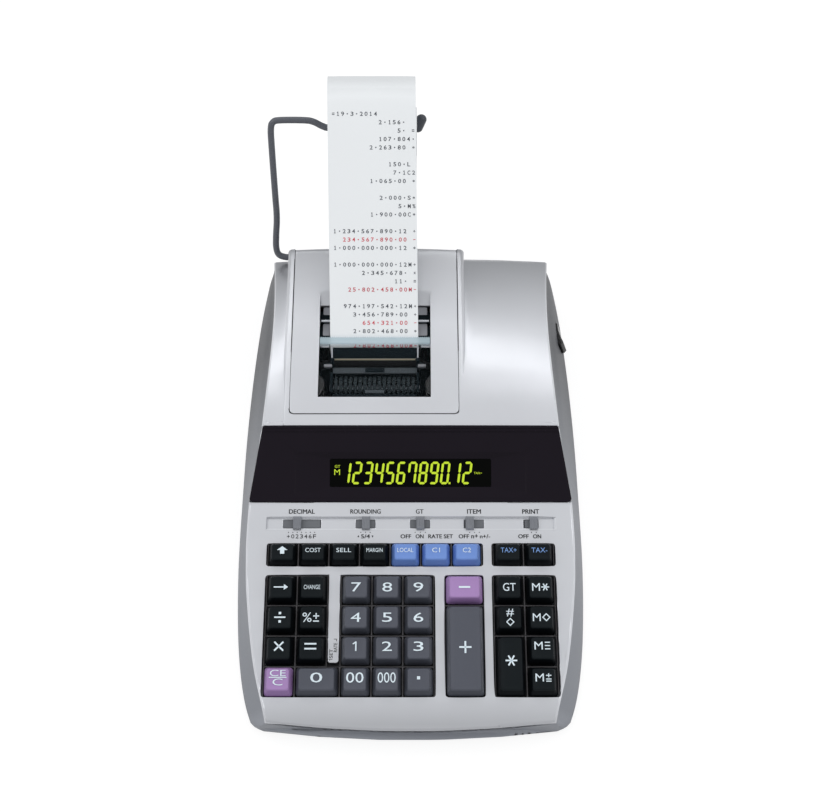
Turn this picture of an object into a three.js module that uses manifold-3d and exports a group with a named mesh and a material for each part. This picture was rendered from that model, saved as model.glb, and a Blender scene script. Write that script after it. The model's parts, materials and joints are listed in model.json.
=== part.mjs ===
// Desktop printing calculator: sloping keyboard, display panel, and a raised printer at the rear left.
// Millimetres, X to the right, Y to the rear, Z up. The table top is Z = 0.
import * as THREE from 'three';
import { mergeVertices } from 'three/addons/utils/BufferGeometryUtils.js';
import Module from 'manifold-3d';

const wasm = await Module();
wasm.setup();

// Driving dimensions of the housing
const bodyLength = 332;
const bodyWidth = 221;
const bodyHeight = 79;
const footHeight = 2.5;
const wall = 2.4;
const deckFrontHeight = 21;
const deckLength = 143.8;
const panelLength = 48.4;
const deckSlope = THREE.MathUtils.degToRad(8.4);
const panelSlope = THREE.MathUtils.degToRad(25.1);
const frontBow = 5.4;
const frontLean = 1;
const rearLean = 8;
const caseLip = 3;
const edgeRound = 1.2;
const bottomRound = 3;
const sideCrown = 4.5;
const shoulderRise = 4.2;
const sideHollow = 2;

// Clearances
const gap = 0.3;
const slide = 0.35;
const overrun = 5;
const weld = 0.0001;

// Keyboard
const keyPitchShare = 0.085973;
const keyPitch = bodyWidth * keyPitchShare;
const rowPitchShare = 0.132128;
const rowPitch = deckLength * rowPitchShare;
const capGap = 1.7;
const capHeight = 8;
const capRise = 6;
const capTaper = 2.3;
const capCorner = 2;
const capDish = 0.6;
const keyTravel = 3;
const wellCorner = 2;
const wellMargin = 0.9;
const shortKeyDepth = 14.2;
const tongueWidth = 7;
const zeroKeyOverhang = 8;
const operatorKeyExtra = 3.6;
const operatorKeyWidth = keyPitch + operatorKeyExtra;
const mainWellFront = 20.1;
const wellRib = 5.5;
const stemSide = 4;
const framePlate = 2;
const frameRim = 2;
const stemTail = 2;
const leftWellShare = -0.40543;
const operatorWellShare = 0.094118;
const rightWellShare = 0.226244;
const taxWellShare = 0.227149;
const leftWellX = bodyWidth * leftWellShare;
const operatorWellX = bodyWidth * operatorWellShare;
const rightWellX = bodyWidth * rightWellShare;
const taxWellX = bodyWidth * taxWellShare;

// Slide switches in their channel above the keys
const channelSetback = 14.1;
const channelCentre = deckLength - channelSetback;
const channelDepth = 8.8;
const channelMargin = 0.3;
const channelLength = -leftWellX * 2 + channelMargin * 2;
const channelSink = 1.2;
const slotDepth = 5.6;
const knobWidth = 5;
const knobRise = 2.2;
const knobRidge = 0.5;
const footSide = 1.5;
const footThick = 1.2;
const knobStemWidth = 3;

// Display
const panelThick = 3.4;
const panelProud = 0.8;
const panelBevel = 0.8;
const panelCorner = 2;
const seatRib = 3;
const recessFront = 3.2;
const recessDepth = 28.4;
const recessWidth = 145.7;
const recessSink = 2;
const recessCorner = 3;
const windowFront = 9.5;
const windowDepth = 18;
const windowWidth = 102.2;
const windowCorner = 1;
const tubeWidth = 112;
const tubeDepth = 24;
const tubeThick = 6;
const tubeRoom = 5;

// Printer hump and its lift-off cover
const humpMargin = 5.1;
const humpCentreShare = -0.104977;
const humpCentre = bodyWidth * humpCentreShare;
const humpRound = 4;
const humpCrown = 1.6;
const humpRear = 151;
const coverWidth = 108.2;
const humpWidth = coverWidth + humpMargin * 2;
const coverFront = 27.5;
const coverThick = 2.2;
const coverCorner = 2.4;
const coverLedge = 3;
const ledgeThick = 1.2;
const coverSeat = coverThick + gap + ledgeThick;
const coverFlange = 8;
const openingWidth = 72.4;
const openingFront = 39.3;
const openingRear = 106.8;
const rampLength = 9.4;
const rampSink = 3.2;
const tearEdge = 82.4;
const clearThick = 1.2;
const clearSink = 1.4;
const toothPitch = 4;
const toothHeight = 1.1;

// Printer mechanism
const platenY = 82.6;
const platenSink = 11.46;
const platenRadius = 6.4;
const platenLength = 60;
const shaftRadius = 2;
const cheekThick = 1.6;
const cheekReach = 37;
const wheelY = 52;
const wheelSink = 11.64;
const wheelRadius = 7.6;
const wheelCount = 17;
const wheelPitchShare = 0.028835;
const wheelThickShare = 0.673;
const wheelPitch = coverWidth * wheelPitchShare;
const wheelThick = wheelPitch * wheelThickShare;
const wheelBarrel = 5;
const spoolEdge = 0.6;
const spoolRoom = 6.58;
const spoolY = 54;
const spoolHub = 4;
const spoolRim = 1.9;
const spoolHeight = 10;
const spoolFlange = 1;
const spoolPost = 1.6;
const spoolSink = 20.9;
const chassisSink = 28.64;
const chassisThick = 2.4;
const chassisFront = 36;
const chassisRear = 113;
const chassisTuck = 0.4;
const guideBarFront = 83.6;
const guideBarMiddle = 94.6;
const guideBarDepth = 8.6;
const guideBarHeight = 1.4;
const guideBarSink = 3.4;
const guideBarWidth = 70.6;
const ribbonPinReach = 28;
const ribbonPinY = 68.6;
const ribbonPinSide = 1.4;
const ribbonPinSink = 4.72;
const combY = 42.6;
const combSink = 4.47;
const combDepth = 2.4;

// Paper and its wire holder
const paperWidth = 57.5;
const paperThick = 0.3;
const tapeLean = THREE.MathUtils.degToRad(35);
const tapeLength = 154;
const tapeCurl = 16;
const tapeTail = 10;
const tapeDrift = 2.2;
const wireDiameter = 4.4;
const wireLean = THREE.MathUtils.degToRad(30);
const wirePivotY = 159.4;
const wirePivotSink = 2;
const wireReach = 96.7;
const wireSeatDrop = 5.2;
const wireBend = 6;
const wireSide = 67.5;
const wireKink = 28;
const wireKinkStep = 1.4;
const wireTipRise = 10;
const wireTipStep = 7;
const wireInnerReach = 37.5;
const wireCentre = -24.6;
const earWidth = 5;
const earSpacing = 17;
const earWall = 2.2;
const rollDiameter = 34;
const rollBore = 12;
const slotHeightShare = 0.32;
const slotPlaceShare = 0.14;

// Power switch and cable gland
const rockerY = 117;
const rockerZ = 18;
const rockerLength = 19;
const rockerHeight = 12;
const rockerProud = 3.6;
const rockerDepth = 5;
const glandX = 62;
const glandZ = 18;
const glandRadius = 6.5;
const glandLength = 5;
const glandBore = 3.6;

// Feet
const footRadius = 8;
const footInset = 27;

// Places that follow from the sizes
const front = -bodyLength / 2;
const rear = bodyLength / 2;
const deckY = front - frontLean;
const panelY = deckY + deckLength * Math.cos(deckSlope);
const panelZ = deckFrontHeight + deckLength * Math.sin(deckSlope);
const headY = panelY + panelLength * Math.cos(panelSlope);
const headZ = panelZ + panelLength * Math.sin(panelSlope);
const upperRear = rear - rearLean;
const humpSlope = Math.atan2(bodyHeight - headZ, humpRear - headY);

// Outline tables: first the place along the body as a share of its length, then the value as a share
const edgeWidthShares = [
  [0, 0.785], [0.02, 0.793], [0.063, 0.826], [0.12, 0.864], [0.241, 0.913], [0.309, 0.927],
  [0.387, 0.93], [0.424, 0.924], [0.557, 0.856], [0.62, 0.843], [0.78, 0.823], [0.9, 0.833], [1, 0.852],
];
const skirtWidthShares = [
  [0, 0.83], [0.006, 0.86], [0.02, 0.885], [0.08, 0.928], [0.17, 0.966], [0.23, 0.982],
  [0.35, 0.999], [0.5, 1], [0.62, 0.998], [0.77, 0.983], [0.92, 0.953], [1, 0.925],
];
const creaseShares = [
  [0, 0.9], [0.3, 0.9], [0.47, 0.93], [0.56, 0.74], [0.68, 0.6], [0.85, 0.57], [1, 0.6],
];
const hollowShares = [[0, 0], [0.46, 0], [0.58, 0.8], [0.7, 1], [1, 1]];
const crownShares = [[0, 0.06], [0.42, 0.06], [0.557, 0.25], [0.75, 0.7], [1, 1]];
const shoulderShares = [[0, 0], [0.2, 0.83], [0.43, 1], [0.65, 0.4], [0.85, -0.6], [1, -1.67]];
const stationShares = [0, 0.004, 0.012, 0.03, 0.063, 0.12, 0.19, 0.27, 0.35];
const shoulderStationShares = [0.14, 0.3, 0.46, 0.6, 0.72, 0.83, 0.92, 0.98, 1];
const topShares = [0.88, 0.6, 0.2];
const underShares = [0.2, 0.6];

// Reads a table with a smooth curve through its points
function readTable(table, at) {
  let i = 0;
  while (i < table.length - 2 && at > table[i + 1][0]) i += 1;
  const [t0, v0] = table[i];
  const [t1, v1] = table[i + 1];
  const before = table[Math.max(i - 1, 0)];
  const after = table[Math.min(i + 2, table.length - 1)];
  const u = THREE.MathUtils.clamp((at - t0) / (t1 - t0), 0, 1);
  const slope0 = ((v1 - before[1]) / (t1 - before[0])) * (t1 - t0);
  const slope1 = ((after[1] - v0) / (after[0] - t0)) * (t1 - t0);
  const u2 = u * u;
  const u3 = u2 * u;
  return v0 * (2 * u3 - 3 * u2 + 1) + slope0 * (u3 - 2 * u2 + u)
    + v1 * (3 * u2 - 2 * u3) + slope1 * (u3 - u2);
}

// Turns a three.js geometry into a solid that can be cut and joined
function solid(geometry, matrix = new THREE.Matrix4()) {
  const bare = geometry.clone().applyMatrix4(matrix);
  bare.deleteAttribute('normal');
  bare.deleteAttribute('uv');
  const merged = mergeVertices(bare, weld);
  return new wasm.Manifold(new wasm.Mesh({
    numProp: 3,
    vertProperties: Float32Array.from(merged.attributes.position.array),
    triVerts: Uint32Array.from(merged.index.array),
  }));
}

function geometryOf(body) {
  const mesh = body.getMesh();
  const geometry = new THREE.BufferGeometry();
  geometry.setAttribute('position', new THREE.BufferAttribute(Float32Array.from(mesh.vertProperties), 3));
  geometry.setIndex(new THREE.BufferAttribute(Uint32Array.from(mesh.triVerts), 1));
  return geometry;
}

const join = (first, ...others) => others.reduce((sum, other) => sum.add(other), first);
const cut = (first, ...others) => others.reduce((sum, other) => sum.subtract(other), first);

function moved(x, y, z, turnX = 0, turnY = 0, turnZ = 0) {
  const turn = new THREE.Quaternion().setFromEuler(new THREE.Euler(turnX, turnY, turnZ));
  return new THREE.Matrix4().compose(new THREE.Vector3(x, y, z), turn, new THREE.Vector3(1, 1, 1));
}

// A box given by its low and high corners
function box(low, high, matrix) {
  const size = high.map((value, i) => value - low[i]);
  const geometry = new THREE.BoxGeometry(...size);
  geometry.translate(...low.map((value, i) => value + size[i] / 2));
  return solid(geometry, matrix);
}

// A round bar along X, Y or Z from one end to the other
function bar(radius, from, to, axis, centre, sides = 12) {
  const geometry = new THREE.CylinderGeometry(radius, radius, to - from, sides);
  if (axis === 'x') geometry.rotateZ(Math.PI / 2);
  if (axis === 'z') geometry.rotateX(Math.PI / 2);
  const place = new THREE.Vector3(...centre);
  place[axis] = (from + to) / 2;
  geometry.translate(place.x, place.y, place.z);
  return solid(geometry);
}

// Skins a row of closed rings, each a list of [x, y, z] whose first half faces its second half
function loft(rings) {
  const count = rings[0].length;
  const index = [];
  for (let r = 0; r < rings.length - 1; r += 1) {
    for (let p = 0; p < count; p += 1) {
      const q = (p + 1) % count;
      const [a, b] = [r * count + p, r * count + q];
      const [c, d] = [b + count, a + count];
      index.push(a, c, b, a, d, c);
    }
  }
  const last = (rings.length - 1) * count;
  for (let p = 0; p < count / 2 - 1; p += 1) {
    const [q, s, t] = [p + 1, count - 2 - p, count - 1 - p];
    index.push(p, q, s, p, s, t, last + p, last + s, last + q, last + p, last + t, last + s);
  }
  const points = rings.flat();
  const volume = () => {
    let sum = 0;
    for (let i = 0; i < index.length; i += 3) {
      const [a, b, c] = [0, 1, 2].map((n) => new THREE.Vector3(...points[index[i + n]]));
      sum += a.dot(b.cross(c));
    }
    return sum;
  };
  if (volume() < 0) index.reverse();
  const geometry = new THREE.BufferGeometry();
  geometry.setAttribute('position', new THREE.Float32BufferAttribute(points.flat(), 3));
  geometry.setIndex(index);
  return geometry;
}

// Mirrors the right half of a section, listed from the bottom up, into a closed ring
function mirrorHalf(half) {
  return [...half, ...half.map(([x, y, z]) => [-x, y, z]).reverse()];
}

function roundedRectangle(width, depth, radius) {
  const shape = new THREE.Shape();
  const [x, y] = [width / 2 - radius, depth / 2 - radius];
  shape.absarc(x, y, radius, 0, Math.PI / 2);
  shape.absarc(-x, y, radius, Math.PI / 2, Math.PI);
  shape.absarc(-x, -y, radius, Math.PI, Math.PI * 1.5);
  shape.absarc(x, -y, radius, Math.PI * 1.5, Math.PI * 2);
  return shape;
}

// The outline of a convex shape as points, without doubles, its first half facing its second
function outlinePoints(shape, divisions) {
  const points = shape.getPoints(divisions);
  return points.filter((p, i) => p.distanceTo(points.at(i - 1)) > weld);
}

function prism(shape, low, high, matrix, curveSegments = 2) {
  const settings = { depth: high - low, bevelEnabled: false, curveSegments };
  const geometry = new THREE.ExtrudeGeometry(shape, settings);
  geometry.translate(0, 0, low);
  return solid(geometry, matrix);
}

// Heights and widths of the housing at a place y along it
const shareOf = (y) => (y - front) / bodyLength;
const edgeX = (y) => (readTable(edgeWidthShares, shareOf(y)) * bodyWidth) / 2;
const skirtX = (y) => (readTable(skirtWidthShares, shareOf(y)) * bodyWidth) / 2;

function topZ(y) {
  if (y < panelY) return deckFrontHeight + (y - deckY) * Math.tan(deckSlope);
  if (y < headY) return panelZ + (y - panelY) * Math.tan(panelSlope);
  return headZ + shoulderRise * readTable(shoulderShares, (y - headY) / (upperRear - headY));
}

const crownAt = (y) => sideCrown * readTable(crownShares, shareOf(y));
const rimZ = (y) => topZ(y) - crownAt(y) - caseLip;

// The front is bowed and leans forward, the rear wall leans back, and the skin stays on its surface.
// The last value says how far a point follows the top: 1 on the top and 0 on the floor.
function settle(x, y, z, follow = 1) {
  const nose = THREE.MathUtils.clamp(1 - (y - front) / (frontBow * 6), 0, 1);
  const tail = THREE.MathUtils.clamp(1 - (rear - y) / (rearLean * 5), 0, 1);
  const bow = frontBow * (x / edgeX(front)) ** 2;
  const lean = frontLean * (z / deckFrontHeight);
  const back = rearLean * Math.min(1, z / topZ(upperRear));
  const place = y + nose * (bow - lean) - tail * back;
  return [x, place, z + follow * (topZ(place) - topZ(y))];
}

const stations = [
  ...stationShares.map((share) => front + share * bodyLength), panelY, (panelY + headY) / 2, headY,
  ...shoulderStationShares.map((share) => headY + share * (rear - headY)),
];

// How much lower the silver skin is at the very front and rear, where its edges are rounded over
function endDrop(y, inset) {
  const nose = Math.max(0, 1 - (y - front) / (edgeRound * 2));
  const tail = Math.max(0, 1 - (rear - y) / (edgeRound * 4));
  return inset > 0 ? 0 : edgeRound * (nose ** 2 + tail ** 2);
}

function upperRing(y, inset) {
  const edge = edgeX(y) - inset;
  const crown = crownAt(y);
  const top = topZ(y) - inset - endDrop(y, inset);
  const low = inset > 0 ? rimZ(y) - overrun : rimZ(y);
  const place = THREE.MathUtils.clamp(y, front + inset, rear - inset);
  const half = [
    ...underShares.map((share) => [edge * share, low]),
    [edge, low], [edge, top - crown - edgeRound], [edge - edgeRound, top - crown],
    ...topShares.map((share) => [edge * share, top - crown * share ** 2.5]),
  ];
  return mirrorHalf(half.map(([x, z]) => settle(x, place, z)));
}

function lowerRing(y, inset) {
  const rim = rimZ(y) - gap;
  const edge = edgeX(y) - inset;
  const skirt = skirtX(y) - inset;
  const bottom = footHeight + inset;
  const creaseShare = readTable(creaseShares, shareOf(y));
  const hollow = sideHollow * readTable(hollowShares, shareOf(y));
  const creaseZ = bottom + (rim - bottom) * creaseShare;
  const creaseX = skirt + (edge - skirt) * creaseShare;
  const between = (share, sag) => [
    creaseX + (edge - creaseX) * share - hollow * sag,
    creaseZ + (rim - creaseZ) * share,
  ];
  const place = THREE.MathUtils.clamp(y, front + inset, rear - inset);
  const follow = (z) => Math.max(0, (z - bottom) / (rim - bottom));
  const half = [
    ...underShares.map((share) => [skirt * share, bottom]),
    [skirt - bottomRound, bottom], [skirt, bottom + bottomRound], [creaseX, creaseZ],
    between(0.3, 0.85), between(0.65, 0.9), [edge, rim + (inset > 0 ? overrun : 0)],
    ...underShares.map((share) => [edge * share, rim + (inset > 0 ? overrun : 0)]).reverse(),
  ];
  return mirrorHalf(half.map(([x, z]) => settle(x, place, z, follow(z))));
}

// Stations pushed in from both ends, for the hollow of a shell, which needs fewer of them
function hollowStations(inset) {
  const low = front + inset;
  const high = rear - inset;
  const between = stations.filter((y, i) => y === panelY || y === headY || i % 2 === 0);
  return [low, ...between.filter((y) => y > low + inset && y < high - inset), high];
}

// Frames that tilt with the keyboard, the display panel and the printer hump
const deckFrame = moved(0, deckY, deckFrontHeight, deckSlope);
const panelFrame = moved(0, panelY, panelZ, panelSlope);
const humpFrame = moved(humpCentre, headY, headZ, humpSlope);
const onHump = (y) => (y - headY) / Math.cos(humpSlope);
const humpZ = (y) => headZ + (y - headY) * Math.tan(humpSlope);

// Places of the printer's parts below the hump's roof, and of the holder on its rear wall
const platenZ = humpZ(platenY) - platenSink;
const wheelZ = humpZ(wheelY) - wheelSink;
const chassisBase = humpZ(wheelY) - chassisSink;
const chassisReach = coverWidth / 2 + chassisTuck;
const spoolBase = humpZ(spoolY) - spoolSink;
const spoolRadius = (coverWidth - wheelCount * wheelPitch) / 4 - spoolRoom / 2;
const spoolReach = coverWidth / 2 - spoolEdge - spoolRadius;
const spoolWound = spoolRadius - spoolRim;
const ribbonPinTop = humpZ(ribbonPinY) - ribbonPinSink;
const combTop = humpZ(combY) - combSink;
const wirePivotZ = topZ(humpRear) - wirePivotSink;
const backRise = bodyHeight - topZ(humpRear);
const slotHeight = backRise * slotHeightShare;
const slotZ = topZ(humpRear) + backRise * slotPlaceShare;

// Keyboard layout: places across and along the deck, from the wells and the key pitch
const rowV = (row) => mainWellFront + rowPitch * (row + 0.5);
const leftColumn = (column) => leftWellX + wellMargin + keyPitch * (column + 0.5);
const digitColumn = (column) => leftColumn(2) + zeroKeyOverhang + keyPitch * column;
const rightColumn = (column) => rightWellX + wellMargin + keyPitch * (column + 0.5);
const taxColumn = (column) => taxWellX + wellMargin + keyPitch * (column + 0.5);
const mainWellDepth = rowPitch * 4;
const topWellFront = mainWellFront + mainWellDepth + wellRib;
const topRowV = topWellFront + wellMargin / 2 + shortKeyDepth / 2;
const topWellDepth = shortKeyDepth + wellMargin;
const operatorX = operatorWellX + wellMargin + operatorKeyWidth / 2;
const squareCap = keyPitch - capGap;
const rowCap = rowPitch - capGap;
const tallCap = rowPitch * 2 - capGap;
const zeroCap = squareCap + zeroKeyOverhang;
const black = 0x1d2126;
const charcoal = 0x575a61;
const lilac = 0xa283b6;
const blue = 0x7397d2;

const keys = [
  ['feed', leftColumn(0), topRowV, squareCap, shortKeyDepth, black],
  ['cost', leftColumn(1), topRowV, squareCap, shortKeyDepth, black],
  ['sell', leftColumn(2), topRowV, squareCap, shortKeyDepth, black],
  ['margin', leftColumn(3), topRowV, squareCap, shortKeyDepth, black],
  ['convert_home', leftColumn(4), topRowV, squareCap, shortKeyDepth, blue],
  ['convert_first', leftColumn(5), topRowV, squareCap, shortKeyDepth, blue],
  ['convert_second', leftColumn(6), topRowV, squareCap, shortKeyDepth, blue],
  ['tax_plus', taxColumn(0), topRowV, squareCap, shortKeyDepth, black],
  ['tax_minus', taxColumn(1), topRowV, squareCap, shortKeyDepth, black],
  ['shift', leftColumn(0), rowV(3), squareCap, rowCap, black],
  ['change', leftColumn(1), rowV(3), squareCap, rowCap, black],
  ['divide', leftColumn(0), rowV(2), squareCap, rowCap, black],
  ['percent', leftColumn(1), rowV(2), squareCap, rowCap, black],
  ['multiply', leftColumn(0), rowV(1), squareCap, rowCap, black],
  ['equals', leftColumn(1), rowV(1), squareCap, rowCap, black],
  ['clear', leftColumn(0), rowV(0), squareCap, rowCap, lilac],
  ['0', leftColumn(1) + zeroKeyOverhang / 2, rowV(0), zeroCap, rowCap, charcoal],
  ['double_0', digitColumn(0), rowV(0), squareCap, rowCap, charcoal],
  ['triple_0', digitColumn(1), rowV(0), squareCap, rowCap, charcoal],
  ['point', digitColumn(2), rowV(0), squareCap, rowCap, charcoal],
  ['minus', operatorX, rowV(3), operatorKeyWidth, rowCap, lilac],
  ['plus', operatorX, (rowV(0) + rowV(2)) / 2, operatorKeyWidth, rowCap + rowPitch * 2, charcoal],
  ['grand_total', rightColumn(0), rowV(3), squareCap, rowCap, black],
  ['memory_total', rightColumn(1), rowV(3), squareCap, rowCap, black],
  ['subtotal', rightColumn(0), rowV(2), squareCap, rowCap, black],
  ['memory_subtotal', rightColumn(1), rowV(2), squareCap, rowCap, black],
  ['total', rightColumn(0), (rowV(0) + rowV(1)) / 2, squareCap, tallCap, black],
  ['memory_minus', rightColumn(1), rowV(1), squareCap, rowCap, black],
  ['memory_plus', rightColumn(1), rowV(0), squareCap, rowCap, black],
];
for (const digit of [1, 2, 3, 4, 5, 6, 7, 8, 9]) {
  const column = (digit - 1) % 3;
  const row = 1 + Math.floor((digit - 1) / 3);
  keys.push([`${digit}`, digitColumn(column), rowV(row), squareCap, rowCap, charcoal]);
}

// Slide switches: name, resting place, and the left and right ends of the slot, as shares of the width
const sliderShares = [
  ['decimal', -0.320814, -0.361538, -0.253846],
  ['rounding', -0.126244, -0.155204, -0.100000],
  ['grand_total', 0.028054, -0.000905, 0.055204],
  ['item', 0.168326, 0.152036, 0.208145],
  ['print', 0.348869, 0.320814, 0.361991],
];
const sliders = sliderShares.map(([name, ...shares]) => [name, ...shares.map((share) => share * bodyWidth)]);

// Wells through the deck: left, front, width, depth
const leftWellWidth = digitColumn(2) + keyPitch / 2 + wellMargin - leftWellX;
const wells = [
  [leftWellX, mainWellFront, leftWellWidth, mainWellDepth],
  [operatorWellX, mainWellFront, operatorKeyWidth + wellMargin * 2, mainWellDepth],
  [rightWellX, mainWellFront, keyPitch * 2 + wellMargin * 2, mainWellDepth],
  [leftWellX, topWellFront, keyPitch * 7 + wellMargin * 2, topWellDepth],
  [taxWellX, topWellFront, keyPitch * 2 + wellMargin * 2, topWellDepth],
];
const plateTop = capRise - capHeight - keyTravel - gap * 2;

function onDeck(matrix) {
  return deckFrame.clone().multiply(matrix);
}

function wellTool([left, near, width, depth]) {
  const place = onDeck(moved(left + width / 2, near + depth / 2, 0));
  return prism(roundedRectangle(width, depth, wellCorner), -overrun * 2, overrun, place);
}

// Printer hump: a rounded ridge that grows out of the shoulder towards the rear
function humpRing(y, inset, drop) {
  const half = humpWidth / 2 - inset;
  const low = topZ(y) - crownAt(y) - wall - (inset > 0 ? overrun * 2 : 0);
  const top = humpZ(y) - inset - drop;
  const crown = humpCrown * THREE.MathUtils.clamp((y - headY) / (humpRear - headY), 0, 1);
  const round = Math.min(humpRound, top - crown - low);
  const right = [[half, low], [half, top - crown - round]];
  for (const share of [1 / 3, 2 / 3]) {
    const angle = (share * Math.PI) / 2;
    right.push([half - round + round * Math.cos(angle), top - crown - round + round * Math.sin(angle)]);
  }
  right.push([half - round, top - crown]);
  for (const share of [0.6, 0.3]) right.push([half * share, top - crown * share ** 2]);
  return mirrorHalf(right.map(([x, z]) => [x, y, z])).map(([x, yy, z]) => [x + humpCentre, yy, z]);
}

const humpGrowth = [0, 0.15, 0.35, 0.6, 0.85];
const humpYs = humpGrowth.map((growth) => headY + (humpRear - humpRound - headY) * growth);

function humpOuter() {
  const rings = humpYs.map((y) => humpRing(y, 0, 0));
  for (const share of [0, 0.5, 0.8, 1]) {
    const y = humpRear - humpRound + humpRound * share;
    rings.push(humpRing(y, 0, humpRound * (1 - Math.sqrt(1 - share * share))));
  }
  return solid(loft(rings));
}

function humpInner() {
  const ys = [headY + humpRound * 2, ...humpYs.slice(1), humpRear - coverSeat];
  return solid(loft(ys.map((y) => humpRing(y, wall, coverSeat - wall))));
}

// A sheet that follows the hump's top and turns down at its rear edge, from a start to the flange's end
function coverSheet(nearY, width, top, bottom, flange) {
  const stops = [nearY, openingFront, (openingFront + openingRear) / 2, openingRear];
  const path = stops.map((y) => [y, humpZ(y), humpSlope]);
  const turnY = humpRear - humpRound;
  for (const share of [0, 0.34, 0.67, 1]) {
    const angle = humpSlope - (share * (Math.PI / 2 + humpSlope));
    path.push([
      turnY - humpRound * Math.sin(angle),
      humpZ(turnY) - humpRound + humpRound * Math.cos(angle),
      angle,
    ]);
  }
  if (flange > 0) path.push([path.at(-1)[0], path.at(-1)[1] - flange, path.at(-1)[2]]);
  const across = [-1, -0.6, -0.2, 0.2, 0.6, 1];
  const rings = path.map(([y, z, angle]) => {
    const share = THREE.MathUtils.clamp((y - headY) / (humpRear - headY), 0, 1);
    const place = (x, offset) => {
      const crown = humpCrown * share * (((x * width) / humpWidth) ** 2);
      const rise = offset - crown;
      return [humpCentre + (x * width) / 2, y - rise * Math.sin(angle), z + rise * Math.cos(angle)];
    };
    return [...across.map((x) => place(x, bottom)), ...across.toReversed().map((x) => place(x, top))];
  });
  return loft(rings);
}

function coverOutline(margin) {
  const depth = bodyLength;
  const near = onHump(coverFront) - margin;
  const shape = roundedRectangle(coverWidth + margin * 2, depth, coverCorner);
  return prism(shape, -overrun * 6, overrun * 2, humpFrame.clone().multiply(moved(0, near + depth / 2, 0)));
}

// Upper case: silver shell with deck, shoulder, printer hump and all their openings
function makeUpperCase() {
  let shell = cut(
    solid(loft(stations.map((y) => upperRing(y, 0)))),
    solid(loft(hollowStations(wall).map((y) => upperRing(y, wall)))),
  );
  shell = cut(join(shell, humpOuter(), ...panelSeatFloor()), humpInner());
  const panelSeat = prism(
    panelShape(gap), -panelThick + panelProud - gap, overrun * 3, panelFrame,
  );
  const tubeHole = box(
    [-tubeWidth / 2 - gap * 2, windowFront - tubeRoom, -overrun * 2],
    [tubeWidth / 2 + gap * 2, windowFront + windowDepth + tubeRoom, overrun], panelFrame,
  );
  const ledge = solid(
    coverSheet(coverFront - gap, coverWidth + gap * 2, overrun, -coverThick - gap, coverFlange + gap),
  );
  const bayInset = coverLedge - gap;
  const bay = box(
    [-coverWidth / 2 + bayInset, onHump(coverFront) + bayInset, -overrun * 3],
    [coverWidth / 2 - bayInset, onHump(humpRear) - humpRound - wall, overrun], humpFrame,
  );
  const rearSlot = box(
    [humpCentre - paperWidth / 2 - coverLedge, humpRear - overrun * 2, slotZ - slotHeight / 2],
    [humpCentre + paperWidth / 2 + coverLedge, rear, slotZ + slotHeight / 2],
  );
  const channel = prism(
    roundedRectangle(channelLength, channelDepth, channelSink), -channelSink, overrun,
    onDeck(moved(0, channelCentre, 0)),
  );
  const slots = sliders.map(([, , left, right]) => box(
    [left, channelCentre - slotDepth / 2, -overrun],
    [right, channelCentre + slotDepth / 2, overrun], deckFrame,
  ));
  const coverSink = ledge.intersect(coverOutline(gap));
  shell = cut(shell, panelSeat, tubeHole, coverSink, bay, rearSlot, channel, ...slots);
  shell = cut(shell, ...wells.map(wellTool));
  return join(shell, tongue(), ...holderEars());
}

// Floor under the display panel, hung from a rib at its front and another at its rear
function panelSeatFloor() {
  const half = edgeX(headY) - wall - gap * 2;
  const seat = panelProud - panelThick - gap;
  const low = seat - wall;
  return [
    box([-half, -seatRib, low], [half, panelLength + seatRib, seat], panelFrame),
    box([-half, -seatRib, low], [half, 0, -wall / 2], panelFrame),
    box([-half, panelLength, low], [half, panelLength + seatRib, -wall * 0.7], panelFrame),
  ];
}

// The tongue that hangs into the key field between the second column and the digits
function tongue() {
  const near = mainWellFront + rowPitch + wellMargin * 2;
  const far = mainWellFront + mainWellDepth + wall;
  const x = (leftColumn(1) + digitColumn(0)) / 2;
  const shape = roundedRectangle(tongueWidth, far - near, wall);
  return prism(shape, -wall, 0, onDeck(moved(x, (near + far) / 2, 0)));
}

// Two ears behind the hump, bored for the wire holder's foot
function holderEars() {
  const outer = wireDiameter / 2 + gap + earWall;
  const seatY = humpRear - wall;
  return [0, 1].map((n) => {
    const x = humpCentre - humpWidth / 2 + earWidth / 2 + edgeRound + n * earSpacing;
    const ear = join(
      box([x - earWidth / 2, seatY, wirePivotZ - outer], [x + earWidth / 2, wirePivotY, wirePivotZ + outer]),
      bar(outer, x - earWidth / 2, x + earWidth / 2, 'x', [0, wirePivotY, wirePivotZ]),
    );
    const bore = wireDiameter / 2 + gap;
    return cut(ear, bar(bore, x - earWidth, x + earWidth, 'x', [0, wirePivotY, wirePivotZ]));
  });
}

// Display panel outline: narrower at its head, as the case is
function panelShape(margin) {
  const low = edgeX(panelY) + margin;
  const high = edgeX(headY) + margin;
  const near = -margin;
  const far = panelLength + margin;
  const shape = new THREE.Shape();
  shape.moveTo(-low + panelCorner, near);
  shape.lineTo(low - panelCorner, near);
  shape.quadraticCurveTo(low, near, low - panelCorner / 4, near + panelCorner);
  shape.lineTo(high + panelCorner / 4, far - panelCorner);
  shape.quadraticCurveTo(high, far, high - panelCorner, far);
  shape.lineTo(-high + panelCorner, far);
  shape.quadraticCurveTo(-high, far, -high - panelCorner / 4, far - panelCorner);
  shape.lineTo(-low + panelCorner / 4, near + panelCorner);
  shape.quadraticCurveTo(-low, near, -low + panelCorner, near);
  return shape;
}

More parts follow.
